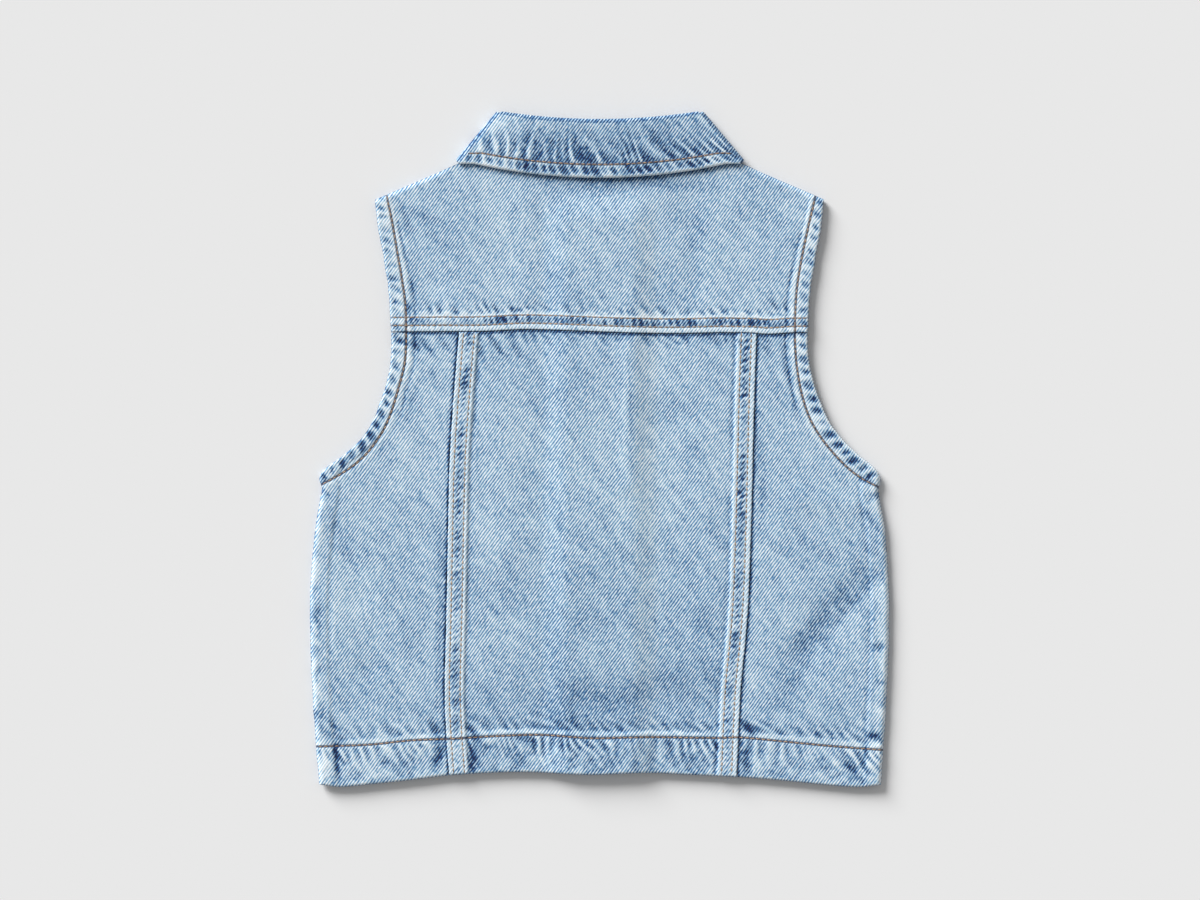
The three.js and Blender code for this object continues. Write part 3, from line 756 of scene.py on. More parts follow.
def hem_wash(cloth):
    """The turned hem: slanted puckers under its row, a pale ridge over it and creases above that."""
    along, across = HEM_STITCH.measure(cloth.x, cloth.y)
    below, above = np.maximum(-across, 0), np.maximum(across, 0)
    in_hem, in_middle = ease(0, 0.5, -across), within(cloth.x, *HEM_MIDDLE)
    pucker = ropes(along, -below, period=6.4, slant=0.62, seed=31, sharp=1.9) + 0.25
    reach = 10 + 6 * noise(along / 9, 0.5, 32)
    strength = ease(0.3, 1.6, below) * (1 - 0.8 * ease(0.4 * reach, reach + 5, below))
    strength = strength * (0.75 + 0.45 * noise(along / 34, 0.2, 33) + 0.2 * in_middle)
    cloth.over(in_hem * 0.6, -0.06 - 0.3 * in_middle)
    cloth.shade(in_hem * strength * np.where(pucker < 0, 0.9, 0.62) * pucker, 0.34)
    low = noise(cloth.x / 5.2, cloth.y / 7.5, 34) + 1.2 * noise(along / 2.6 + below / 4.2, below / 2.8, 39)
    cloth.shade(in_hem * ease(4, 11, below) * 0.24 * low, 0.3)
    _, edge = HEM_LINE.measure(cloth.x, cloth.y)
    cloth.shade(in_hem * 0.3 * (1 - ease(0.4, 2, np.abs(edge))))
    ridge = within(above, 0.7, 3.6 + noise(along / 8, 0.9, 35), 0.6)
    cloth.shade(ridge * (0.26 + 0.24 * noise(along / 4.5, above / 4, 38)), 0.35)
    crease = ropes(along, above, period=9.5, slant=0.9, seed=36)
    spread = ease(2.5, 4.5, above) * (1 - ease(6, 15 + 4 * noise(along / 12, 0.1, 37), above))
    cloth.shade(spread * (0.4 * crease - 0.16), 0.35)
    cloth.stitched(across)


def armhole_wash(cloth, side):
    """The armhole's turned edge: dark spots between its edge and its row, the turning's end within, and
    painted shade along the lit left edge and painted light along the shaded right one.
    """
    along, from_edge = side.armhole.measure(cloth.x, cloth.y)
    _, from_row = side.armhole_row.measure(cloth.x, cloth.y)
    seed = side.seed
    inside = ease(-0.4, 0.3, from_row)
    in_band = (1 - inside) * (1 - ease(12, 14, from_edge))
    middle = 0.5 * (from_edge + np.minimum(from_row, 0)) + 0.6
    spot = spots(along, middle, period=7.4, long=3, wide=2.1, slant=-0.4, seed=seed)
    finer = spots(along, from_edge - 2.2, period=4.7, long=1.6, wide=1, slant=0.5, seed=seed + 20)
    upper = ease(UNDERARM, YOKE_SEAM_LEVEL, cloth.y)
    size = 1.05 - 0.35 * upper + 0.25 * noise(along / 24, 0.3, seed + 7)
    cloth.over(in_band * COVERS, 0.58 + 0.16 * upper)
    cloth.shade(in_band * 0.16 * ropes(along, from_edge, period=7.2, slant=-0.35, seed=seed + 8), 0.6)
    cloth.shade(in_band * (-1.62 * size * spot - 0.4 * finer), 0.2)
    # Painted shade on the lit left edge, painted light with some worn paleness on the shaded right edge
    cloth.shade(in_band * side.rubbed * (1 - ease(*EDGE_RUB_LIGHT_AND_SHADE_WIDTH, from_edge)))
    ridge = hill(from_row, 2 + 0.6 * noise(along / 14, 0.4, seed + 9), 1.5)
    cloth.shade(inside * 0.5 * ridge * (0.35 + 0.65 * upper), 0.45)
    gap = 5.4 - 2.4 * ease(80, 150, cloth.y)
    past = hill(from_row, gap + 0.7 * noise(along / 16, 0.7, seed + 10), 0.8)
    cloth.shade(-0.75 * past * inside * upper * (0.75 + 0.5 * noise(along / 12, 0.7, seed + 11)), 0.4)
    crease = ropes(along, from_row, period=5.5, slant=0.5, seed=seed + 3)
    cloth.shade(inside * (1 - ease(1.5, 7, from_row)) * 0.14 * crease, 0.3)
    cloth.stitched(from_row)


def side_wash(cloth, side):
    """Beside a side seam: a pale worn edge, broken by small blue hollows, with painted shade on the lit left
    side and painted light on the shaded right side.
    """
    along, across = side.side_seam.measure(cloth.x, cloth.y)
    seed = side.seed + SIDE_SEED
    near = 1 - ease(1, 9, across)
    cloth.shade(near * (0.2 + 0.42 * noise(along / 7.5, across / 3.4, seed)), 0.3)
    # Painted shade on the lit left edge, painted light with some worn paleness on the shaded right edge
    cloth.shade(side.rubbed * (1 - ease(0.2, 1.4, across)))
    cloth.shade(-0.22 * hill(across, 12, 1.2) * (0.6 + 0.4 * noise(along / 11, 0.3, seed + 1)), 0.8)


def strip_wash(cloth, side):
    """A felled seam down the back: pale rims, and small dark bars between its two rows."""
    along, across = side.strip.measure(cloth.x, cloth.y)
    outer, inner = side.strip_rows
    seed = side.seed + STRIP_SEED
    middle = across - 0.5 * (outer + inner)
    bars = spots(along, middle, period=3.6, long=3, wide=1.5, slant=0.5, seed=seed)
    bars = bars + 0.4 * spots(along, middle, period=4.6, long=2.2, wide=1.1, slant=-0.6, seed=seed + 1)
    depth = ease(-1, 0.9, noise(along / 16, 0.4, seed + 2) + 0.25 * within(cloth.y, 25, 62, 5))
    between = within(across, outer + 0.3, inner - 0.3, 0.35)
    cloth.over(within(across, 0, inner + 2.4, 0.5) * COVERS, 0.42, 0.05)
    cloth.shade(between * (0.16 - 1.5 * bars * (0.35 + 0.65 * depth)), 0.2)
    ticks = ropes(along, across, period=2.6, slant=0.8, seed=seed + 4)
    rims = within(across, 0.2, outer, 0.3) + within(across, inner, inner + 2.2, 0.4)
    cloth.shade(rims * (0.12 + 0.2 * ticks), 0.2)
    end = inner + (2.9 + 0.5 * noise(along / 9, 0.2, seed + 5)) + 0.9
    fade = 0.5 + 0.5 * ease(-40, 40, cloth.y) + 0.5 * (1 - ease(-190, -160, cloth.y))
    broken = 0.7 + 0.5 * noise(along / 13, 0.6, seed + 3)
    cloth.shade(-0.55 * hill(across, end, 1.3) * broken * fade, 0.6)
    for row in side.strip_rows:
        cloth.stitched(across - row, 0.82)


def beside_strip(cloth, side):
    """On a side panel, the unwashed line and the soft shade along the folded edge that lies on it."""
    along, across = side.strip.measure(cloth.x, cloth.y)
    out, seed = -across, side.seed + FOLD_SEED
    reach = 3.4 + 1.6 * noise(along / 14, 0.6, seed + 1)
    cloth.shade(-0.5 * (1 - ease(0.3, reach, out)) * (0.75 + 0.5 * noise(along / 9, 0.2, seed)), 0.4)
    cloth.over(1 - ease(0.6, 1.5 + 0.4 * noise(along / 4, 0.9, seed + 2), out), UNDER_STRIP_WEAR)


def yoke_wash(cloth):
    """The yoke's felled edge: pale rim, dark bars between its rows, a pale ridge and creases above, and under
    the collar's fall a painted shadow over unwashed blue.
    """
    along, across = YOKE_EDGE.measure(cloth.x, cloth.y)
    low, high = YOKE_ROWS
    middle = across - 0.5 * (low + high)
    bars = spots(along, middle, period=3.7, long=2.8, wide=1.75, slant=0.25, seed=51)
    depth = ease(-1.2, 0.4, noise(along / 20, 0.7, 52) + 0.7 * within(cloth.x, *YOKE_MIDDLE) - 0.1)
    between = within(across, low + 0.3, high - 0.3, 0.3)
    cloth.over(within(across, 0, high + 1.2, 0.6) * COVERS, 0.4, 0.05)
    cloth.shade(between * (0.22 - 1.95 * bars * (0.4 + 0.6 * depth)), 0.2)
    ticks = ropes(along, across, period=2.9, slant=0.2, seed=57)
    cloth.shade(within(across, 0.2, low - 0.4, 0.3) * (0.1 + 0.34 * ticks), 0.25)
    crest = within(across, high + 0.6, high + 2.6 + 1.4 * noise(along / 7, 0.3, 53), 0.6)
    cloth.shade(crest * (0.3 + 0.2 * noise(along / 4, across / 4, 58)), 0.35)
    crease = ropes(along, across, period=8.6, slant=0.8, seed=54)
    crease = crease + 0.5 * ropes(along, across, period=5.2, slant=0.5, seed=64)
    reach = high + 9 + 5 * noise(along / 11, 0.8, 55)
    spread = ease(high + 0.8, high + 2.4, across) * (1 - ease(high + 3, reach, across))
    strength = 0.65 + 0.5 * noise(along / 24, 0.5, 56)
    strength = strength + 0.4 * hill(cloth.x, -56, 16) + 0.3 * hill(cloth.x, 84, 26)
    cloth.shade(spread * (0.6 * crease - 0.16) * strength, 0.3)
    # Painted shadow of the collar's fall, reaching further to the right, over the unwashed blue beneath it
    under_fall_shadow_and_dye = (1 - ease(0.2, 4.5, fall_edge(cloth.x) - cloth.y)) * (np.abs(cloth.x) < TURN_EDGE[0])
    cloth.shade(-0.6 * under_fall_shadow_and_dye * (0.6 + 0.4 * ease(-50, 20, cloth.x)))
    for row in YOKE_ROWS:
        cloth.stitched(across - row, 0.92)


def below_yoke(cloth):
    """On the lower panels, the unwashed line under the yoke's edge and the short creases below it."""
    along, across = YOKE_EDGE.measure(cloth.x, cloth.y)
    out = -across
    crease = ropes(along, out, period=8, slant=-0.7, seed=61)
    reach = 9 + 4 * noise(along / 9, 0.1, 62)
    cloth.shade((1 - ease(1, reach, out)) * (0.4 * crease - 0.25), 0.3)
    cloth.over(1 - ease(0.9, 2.1 + 0.6 * noise(along / 3.7, 0.5, 63), out), UNDER_YOKE_WEAR)


# Meshes


def stations(near_start, shares, near_end, under_start=MARGIN_UNDER, under_end=MARGIN_UNDER):
    """Places across a panel: turned under, set distances from its edges, and shares of the rest."""
    rows = [(0, d, 0, 1) for d in under_start]
    rows += [(0, d, 0, 0) for d in near_start]
    rows += [(share, near_start[-1], near_end[-1], 0) for share in shares]
    rows += [(1, 0, d, 0) for d in reversed(near_end)]
    rows += [(1, 0, d, 1) for d in reversed(under_end)]
    return table("share start end under", *rows)


def place(station, start, end):
    return mix(start + station["start"], end - station["end"], station["share"])


def roll_steps(radius, *further, count=6):
    steps = [radius * (1 - math.cos(k * math.pi / 2 / count)) for k in range(count + 1)]
    return steps + list(further)


def even(length, step):
    count = max(2, round(length / step))
    return [(k + 1) / (count + 1) for k in range(count)]


def band(distance, width, raised):
    return raised * (1 - ease(width - STEP, width, distance))


# Which way each edge's points move as they turn under
INWARDS = {"left": (1, 0), "right": (-1, 0), "bottom": (0, 1), "top": (0, -1)}

# Distances from an edge over which its upright face ends, the relief grows and the edge's sway fades
UPRIGHT_END, RELIEF_GROWS, SWAY_FADES = (0.1, 0.45), (0, 1.6), (0.5, 6)


def panel(edges, columns, rows, facing, height, raised, rolls, dress, wobble=0.0):
    """A panel's points, wear and rows: its outer face and the margins that turn under its edges."""
    left, right, bottom, top, corners = edges
    bottom_left, bottom_right, top_left, top_right = corners
    bottom_y = bottom(place(columns, left(bottom_left), right(bottom_right)))[:, None]
    top_y = top(place(columns, left(top_left), right(top_right)))[:, None]
    start_x = left(place(rows, bottom_left, top_left))[None, :]
    end_x = right(place(rows, bottom_right, top_right))[None, :]
    column = {name: values[:, None] for name, values in columns.items()}
    row = {name: values[None, :] for name, values in rows.items()}
    x, y = place(column, start_x, end_x), place(row, bottom_y, top_y)
    away = {"left": x - start_x, "right": end_x - x, "bottom": y - bottom_y, "top": top_y - y}
    under = np.maximum(column["under"], row["under"]) > 0
    drop, shift_x, shift_y = (np.zeros_like(x) for _ in range(3))
    flatness = np.ones_like(x)
    for side, (push_x, push_y) in INWARDS.items():
        if side not in rolls:
            continue
        radius, fall = rolls[side](x, y)
        cosine = np.clip(1 - away[side] / radius, 0, 1)
        sine = np.sqrt(1 - cosine**2)
        full = np.minimum(1, fall / CLOTH)
        drop = np.maximum(drop, fall * (1 - sine))
        shift_x = shift_x + push_x * CLOTH * cosine * full
        shift_y = shift_y + push_y * CLOTH * cosine * full
        flatness = flatness * mix(1, sine, full)
    cloth = dress(x, y)
    base = height(x, y) - facing * drop
    nearest = np.minimum.reduce(list(away.values()))
    cloth.over(1 - ease(*UPRIGHT_END, nearest), UPRIGHT_WEAR)
    cloth.over(under.astype(float), REVERSE_WEAR)
    settle = 0.35 + 0.65 * ease(*RELIEF_GROWS, nearest)
    outer = base + facing * (raised(away, y) + cloth.relief * settle)
    inner = base - facing * CLOTH * flatness
    z = np.where(under, inner, outer)
    side_near = 1 - ease(*SWAY_FADES, np.minimum(away["left"], away["right"]))
    sway = wobble * side_near * (noise(y / 5.3, x / 300, 71) + 0.5 * noise(y / 2.1, x / 300, 72))
    x = x + np.where(under, shift_x, 0) + sway * np.where(away["left"] < away["right"], 1, -1)
    y = y + np.where(under, shift_y, 0)
    return np.stack((x, y, z), 2), cloth, facing


def grid_faces(columns, rows, flip):
    i, j = np.meshgrid(np.arange(columns - 1), np.arange(rows - 1), indexing="ij")
    a = (i * rows + j).ravel()
    faces = np.column_stack((a, a + rows, a + rows + 1, a + 1))
    return (faces[:, ::-1] if flip else faces).tolist()


def new_object(name, points, faces, material, values=None):
    """A smooth mesh object in metres, with its float values stored at its points."""
    mesh = bpy.data.meshes.new(name)
    mesh.from_pydata((np.asarray(points).reshape(-1, 3) * MM).tolist(), [], faces)
    for key, data in (values or {}).items():
        stored = mesh.attributes.new(key, "FLOAT", "POINT").data
        stored.foreach_set("value", np.ravel(data).astype(np.float32))
    mesh.shade_smooth()
    mesh.materials.append(material)
    piece = bpy.data.objects.new(name, mesh)
    bpy.context.scene.collection.objects.link(piece)
    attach(piece, BODY)
    return piece


def cloth_object(name, made, material, node):
    points, cloth, facing = made
    faces = grid_faces(points.shape[0], points.shape[1], facing < 0)
    values = {"wear": cloth.wear, "row": cloth.row}
    piece = new_object(name, points, faces, material, values)
    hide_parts(node)
    return piece


# Materials


def linear(*screen):
    """A colour given as it looks on screen, 0 to 255, as Blender's linear light."""
    shares = [c / 255 for c in screen]
    return tuple(c / 12.92 if c <= 0.04045 else ((c + 0.055) / 1.055) ** 2.4 for c in shares) + (1.0,)


class Nodes:
    """Adds and links a tree's nodes in few words."""

    def __init__(self, tree):
        self.tree = tree

    def add(self, kind, *inputs, **settings):
        node = self.tree.nodes.new("ShaderNode" + kind)
        for key, value in settings.items():
            setattr(node, key, value)
        for socket, value in enumerate(inputs):
            self.put(value, node.inputs[socket])
        return node

    def put(self, value, socket):
        if isinstance(value, bpy.types.NodeSocket):
            self.tree.links.new(value, socket)
        elif value is not None:
            socket.default_value = value

    def fill(self, node, **values):
        """Sets a node's inputs by name, and gives its first output."""
        for name, value in values.items():
            self.put(value, node.inputs[name])
        return node.outputs[0]

    def math(self, operation, a, b=None, c=None, clamp=False):
        return self.add("Math", a, b, c, operation=operation, use_clamp=clamp).outputs[0]

    def blend(self, share, a, b):
        node = self.add("Mix", data_type="RGBA")
        for value, socket in ((share, 0), (a, 6), (b, 7)):
            self.put(value, node.inputs[socket])
        return node.outputs[2]

    def noise(self, vector, scale, detail):
        return self.fill(self.add("TexNoise"), Vector=vector, Scale=scale, Detail=detail)

    def centred(self, vector, scale, detail=2.0):
        """Noise about 0."""
        return self.math("SUBTRACT", self.noise(vector, scale, detail), 0.5)

    def ramp(self, value, stops):
        node = self.add("ValToRGB", value)
        elements = node.color_ramp.elements
        while len(elements) < len(stops):
            elements.new(0.5)
        for element, (position, colour) in zip(elements, stops):
            element.position, element.color = position, colour
        return node.outputs[0]

    def bump(self, height, strength, distance):
        return self.fill(self.add("Bump"), Height=height, Strength=strength, Distance=distance * MM)


def new_group(name, inputs, outputs):
    """A shader group with these inputs and outputs. Gives its nodes and both ends."""
    tree = bpy.data.node_groups.new(name, "ShaderNodeTree")
    for label, default in inputs.items():
        socket = tree.interface.new_socket(label, in_out="INPUT", socket_type="NodeSocketFloat")
        socket.default_value = default
    for label, kind in outputs.items():
        tree.interface.new_socket(label, in_out="OUTPUT", socket_type=kind)
    return Nodes(tree), tree.nodes.new("NodeGroupInput").outputs, tree.nodes.new("NodeGroupOutput").inputs


def new_material(name, shader_inputs):
    """A material with its shader's inputs set by name. Gives it with its nodes and its shader's inputs."""
    material = bpy.data.materials.new(name)
    material.use_nodes = True
    sockets = material.node_tree.nodes["Principled BSDF"].inputs
    for key, value in shader_inputs.items():
        sockets[key].default_value = value
    return material, Nodes(material.node_tree), sockets


# Denim's colours on screen from unwashed to worn white, by how far the wash has gone, which painted light and
# shade also move along
WEAR_LOW, WEAR_HIGH = -1.7, 1.3
WASH = (
    (-1.6, (22, 36, 74)),
    (-1.1, (44, 82, 134)),
    (-0.7, (80, 127, 174)),
    (-0.35, (123, 163, 193)),
    (0.0, (168, 197, 216)),
    (0.4, (200, 220, 232)),
    (0.8, (222, 234, 242)),
    (1.2, (238, 243, 247)),
)

# The weave: its lines' spacing and heading, how far they wander, and the worn dashes along them
TWILL_PITCH = 1.55
TWILL_ANGLE = math.radians(-36)
TWILL_WANDER = 0.35
TWILL_CONTRAST, TWILL_UNEVEN = 0.82, 2.0
DASH_LENGTH, DASHES_ACROSS = 2.6, 1.1
SLUB_SCALE = (0.9, 0.12, 1.0)

# How much each pattern adds to the wear, and how high the lines and the dashes stand
DASH_WEAR, GRAIN_WEAR, SLUB_WEAR, CLOUD_WEAR = 1.9, 0.9, 0.6, 0.7
TWILL_HEIGHT, DASH_HEIGHT = 0.3, 0.8

# The groove that a row of stitches lies in: its colour, unwashed blue with painted shade, where its sides
# are, and how dark it is
GROOVE_DYE_AND_SHADE_COLOUR = (34, 44, 78)
GROOVE_FROM, GROOVE_TO, GROOVE_DEPTH = 0.3, 1.1, 0.92


def washed_twill():
    """Shader group: twill lines, slubs and mottling laid over a value of washing and painted shade, coloured
    along the wash's colours.
    """
    nodes, given, result = new_group(
        "Washed twill",
        {"Wear": 0.0, "Row": FAR_FROM_ROW, "Tone": 0.0},
        {"Color": "NodeSocketColor", "Height": "NodeSocketFloat"},
    )
    to_mm = nodes.add("VectorMath", nodes.add("TexCoord").outputs["Object"], operation="SCALE")
    where = nodes.fill(to_mm, Scale=1 / MM)

    def distance_on(heading):
        way = (math.cos(heading), math.sin(heading), 0.0)
        return nodes.add("VectorMath", where, way, operation="DOT_PRODUCT").outputs["Value"]

    across = nodes.math("DIVIDE", distance_on(TWILL_ANGLE), TWILL_PITCH)
    turns = nodes.math("MULTIPLY_ADD", nodes.centred(where, 0.12), TWILL_WANDER, across)
    twill = nodes.math("SINE", nodes.math("MULTIPLY", turns, 2 * math.pi))
    along = nodes.math("DIVIDE", distance_on(TWILL_ANGLE + math.pi / 2), DASH_LENGTH)
    dash_place = nodes.add("CombineXYZ", nodes.math("MULTIPLY", turns, DASHES_ACROSS), along, 0.0)
    dash = nodes.centred(dash_place.outputs[0], 1.0)
    grain = nodes.centred(where, 0.8)
    slub = nodes.centred(nodes.fill(nodes.add("Mapping", where), Scale=SLUB_SCALE), 1.0)
    cloud = nodes.centred(where, 0.3, 3.0)
    contrast = nodes.math("MULTIPLY_ADD", dash, TWILL_UNEVEN, TWILL_CONTRAST)
    wear = nodes.math("ADD", given["Wear"], given["Tone"])
    wear = nodes.math("MULTIPLY_ADD", twill, contrast, wear)
    for pattern, amount in ((dash, DASH_WEAR), (grain, GRAIN_WEAR), (slub, SLUB_WEAR), (cloud, CLOUD_WEAR)):
        wear = nodes.math("MULTIPLY_ADD", pattern, amount, wear)
    span = WEAR_HIGH - WEAR_LOW
    share = nodes.math("MULTIPLY_ADD", wear, 1 / span, -WEAR_LOW / span, clamp=True)
    cloth_colour = nodes.ramp(share, [((level - WEAR_LOW) / span, linear(*colour)) for level, colour in WASH])
    sides = (GROOVE_FROM, GROOVE_TO, GROOVE_DEPTH, 0.0)
    # Each row darkens to the groove's colour: unwashed blue with painted shade
    groove = nodes.add("MapRange", given["Row"], *sides, interpolation_type="SMOOTHSTEP").outputs[0]
    nodes.put(nodes.blend(groove, cloth_colour, linear(*GROOVE_DYE_AND_SHADE_COLOUR)), result["Color"])
    height = nodes.math("MULTIPLY_ADD", twill, TWILL_HEIGHT, nodes.math("MULTIPLY", dash, DASH_HEIGHT))
    nodes.put(nodes.math("SUBTRACT", height, groove), result["Height"])
    return nodes.tree


def denim(name, tone):
    """Washed denim, with its wash and painted shade read from the value stored on the mesh."""
    looks = {"Roughness": 0.92, "Specular IOR Level": 0.15, "Sheen Weight": 0.12, "Sheen Roughness": 0.6}
    material, nodes, shader = new_material(name, looks)
    wash = nodes.add("Group", node_tree=bpy.data.node_groups.get("Washed twill") or washed_twill())
    for key in ("wear", "row"):
        nodes.put(nodes.add("Attribute", attribute_name=key).outputs["Fac"], wash.inputs[key.title()])
    wash.inputs["Tone"].default_value = tone
    nodes.put(wash.outputs["Color"], shader["Base Color"])
    nodes.put(nodes.bump(wash.outputs["Height"], strength=0.6, distance=0.25), shader["Normal"])
    return material


def spotted(nodes, pattern, colour, darker, dark_at, pale_at):
    """A colour that falls to a darker one where the pattern is low."""
    dark, pale = (tuple(share * c for c in colour) + (1.0,) for share in (darker, 1))
    return nodes.ramp(pattern, ((dark_at, dark), (pale_at, pale)))


def thread(name, colours):
    """Twisted sewing thread, a little uneven in colour."""
    material, nodes, shader = new_material(name, {"Roughness": 0.7, "Sheen Weight": 0.2})
    fibres = nodes.noise(nodes.add("TexCoord").outputs["Object"], scale=420.0, detail=2.0)
    nodes.put(spotted(nodes, fibres, colours.thread_colour, 0.42, 0.3, 0.62), shader["Base Color"])
    twist = nodes.add("TexWave", wave_type="BANDS", bands_direction="DIAGONAL")
    nodes.fill(twist, Scale=900.0)
    nodes.put(nodes.bump(twist.outputs["Fac"], strength=0.4, distance=0.1), shader["Normal"])
    return material


def button_metal(name, colours):
    """Dulled brass with darker, smoother hollows."""
    material, nodes, shader = new_material(name, {"Metallic": 1.0})
    tarnish = nodes.noise(nodes.add("TexCoord").outputs["Object"], scale=260.0, detail=4.0)
    nodes.put(spotted(nodes, tarnish, colours.button_colour, 0.4, 0.35, 0.65), shader["Base Color"])
    nodes.put(nodes.math("MULTIPLY_ADD", tarnish, 0.35, 0.2), shader["Roughness"])
    return material


def shared(name, make, given):
    """The material of that name, made the first time it is asked for."""
    return bpy.data.materials.get(name) or make(name, given)


# Added to the wear of all the cloth that a material is on
DENIM_TONE, COLLAR_TONE = 0.02, -0.26


def vest_denim():
    return shared("washed_denim", denim, DENIM_TONE)


# Settings


class VestColours(bpy.types.PropertyGroup):
    """Colours that a user would change"""

    thread_colour: bpy.props.FloatVectorProperty(
        name="Thread",
        description="Colour of the topstitching",
        subtype="COLOR",
        default=linear(190, 158, 128)[:3],
    )
    button_colour: bpy.props.FloatVectorProperty(
        name="Buttons",
        description="Colour of the metal buttons",
        subtype="COLOR",
        default=linear(176, 140, 92)[:3],
    )
    floor_colour: bpy.props.FloatVectorProperty(
        name="Floor",
        description="Colour of the plain surface under the vest",
        subtype="COLOR",
        default=(0.8, 0.8, 0.8),
    )


class VestSizes(bpy.types.PropertyGroup):
    """Sizes that a user would change"""

    stitch_pitch: bpy.props.FloatProperty(
        name="Stitch",
        description="Length of one stitch",
        default=3.3 * MM,
        unit="LENGTH",
        precision=4,
    )
    thread_width: bpy.props.FloatProperty(
        name="Thread width",
        description="Thickness of the sewing thread",
        default=0.66 * MM,
        unit="LENGTH",
        precision=5,
    )
    mesh_step: bpy.props.FloatProperty(
        name="Mesh step",
        description="Spacing of the points on the back",
        default=FINE * MM,
        unit="LENGTH",
        precision=5,
    )


class BuildsPiece:
    """What every operator here shares"""

    bl_options = {"REGISTER", "UNDO"}

    @staticmethod
    def settings(context):
        return context.scene.vest_sizes, context.scene.vest_colours

    @staticmethod
    def settle(piece, flat, area, rests_on):
        """Does nothing: a cloth piece, the size it was cut to, in millimetres, its area and what it lies on
        are not used.
        """


# The back


def free_roll(x, y):
    return FREE_ROLL, np.full_like(x, FREE_DROP)


def felled_roll(x, y):
    return FELLED_ROLL, np.full_like(x, FELLED_DROP)


def side_share(y):
    return 1 - ease(UNDERARM - 2, UNDERARM + 5, y)


def to_side_seam(height):
    """How far a face at this height is from the seam at the side, less half the gap there."""
    return np.abs(height - SIDE_SEAM_HEIGHT) - SEAM_GAP / 2


def back_side_roll(x, y):
    seam = side_share(y)
    return mix(FREE_ROLL, SIDE_ROLL, seam), mix(FREE_DROP, to_side_seam(back_height(x, y)), seam)


def shoulder_share(x):
    return ease(SHOULDER_SEAM_OFF, SHOULDER_SEAM_ON, np.abs(x))


def shoulder_roll(x, y):
    return SIDE_ROLL, shoulder_share(x) * to_side_seam(back_height(x, y))


def hem_corner(edge):
    return float(hem_edge(edge(HEM_CORNER)))


def seam_top(edge):
    return float(under_yoke(edge(YOKE_SEAM_LEVEL)))


def panel_rows(step):
    height = YOKE_SEAM_LEVEL - HEM_CORNER
    return stations(roll_steps(FREE_ROLL), even(height, step), [0], under_end=(8, 4, 0))


def yoke_cloth(x, y):
    cloth = Cloth(x, y)
    yoke_wash(cloth)
    armhole_wash(cloth, LEFT)
    armhole_wash(cloth, RIGHT)
    patches(cloth)
    placket_painted_light(cloth)
    # Painted shade along the top edge, which faces the light
    cloth.shade(LIT_EDGE_SHADE * (1 - ease(*EDGE_RUB_LIGHT_AND_SHADE_WIDTH, back_top(x) - y)))
    return cloth


def centre_cloth(x, y):
    cloth = Cloth(x, y)
    # Darker towards the hem: partly the wash, partly painted shade
    cloth.shade(-0.14 * ease(20, -150, y))
    placket_painted_light(cloth)
    hem_wash(cloth)
    below_yoke(cloth)
    strip_wash(cloth, LEFT)
    strip_wash(cloth, RIGHT)
    patches(cloth)
    return cloth


def side_cloth(side, x, y):
    cloth = Cloth(x, y)
    hem_wash(cloth)
    below_yoke(cloth)
    cloth.shade(side.tone)
    armhole_wash(cloth, side)
    side_wash(cloth, side)
    beside_strip(cloth, side)
    patches(cloth)
    return cloth


class VEST_OT_back_yoke(BuildsPiece, bpy.types.Operator):
    """The yoke across the shoulders, with its felled lower edge and turned armholes"""

    bl_idname = "vest.back_yoke"
    bl_label = "Back yoke"

    WIDTH, DEPTH, SWAY = 258, 94, 0.3

    def execute(self, context):
        sizes, _ = self.settings(context)
        step = sizes.mesh_step / MM
        armhole = roll_steps(FREE_ROLL)
        ends = [float(yoke_seam(side.edge(YOKE_SEAM_LEVEL))) for side in (LEFT, RIGHT)]
        columns = stations(armhole, even(self.WIDTH, step), armhole)
        low, high = roll_steps(FELLED_ROLL), roll_steps(SIDE_ROLL)
        rows = stations(low, even(self.DEPTH, step), high)
        made = panel(
            (LEFT.edge, RIGHT.edge, yoke_seam, back_top, (*ends, SHOULDER_TIP, SHOULDER_TIP)),
            columns,
            rows,
            1,
            back_height,
            lambda away, y: band(away["bottom"], YOKE_STRIP_WIDTH, STRIP_RAISED)
            + band(np.minimum(away["left"], away["right"]), ARMHOLE_BAND, BAND_RAISED),
            {"left": free_roll, "right": free_roll, "bottom": felled_roll, "top": shoulder_roll},
            yoke_cloth,
            self.SWAY,
        )
        piece = cloth_object("yoke", made, vest_denim(), "back_yoke")
        self.settle(piece, (290, 125), 30500, ["front_left", "front_right"])
        return {"FINISHED"}


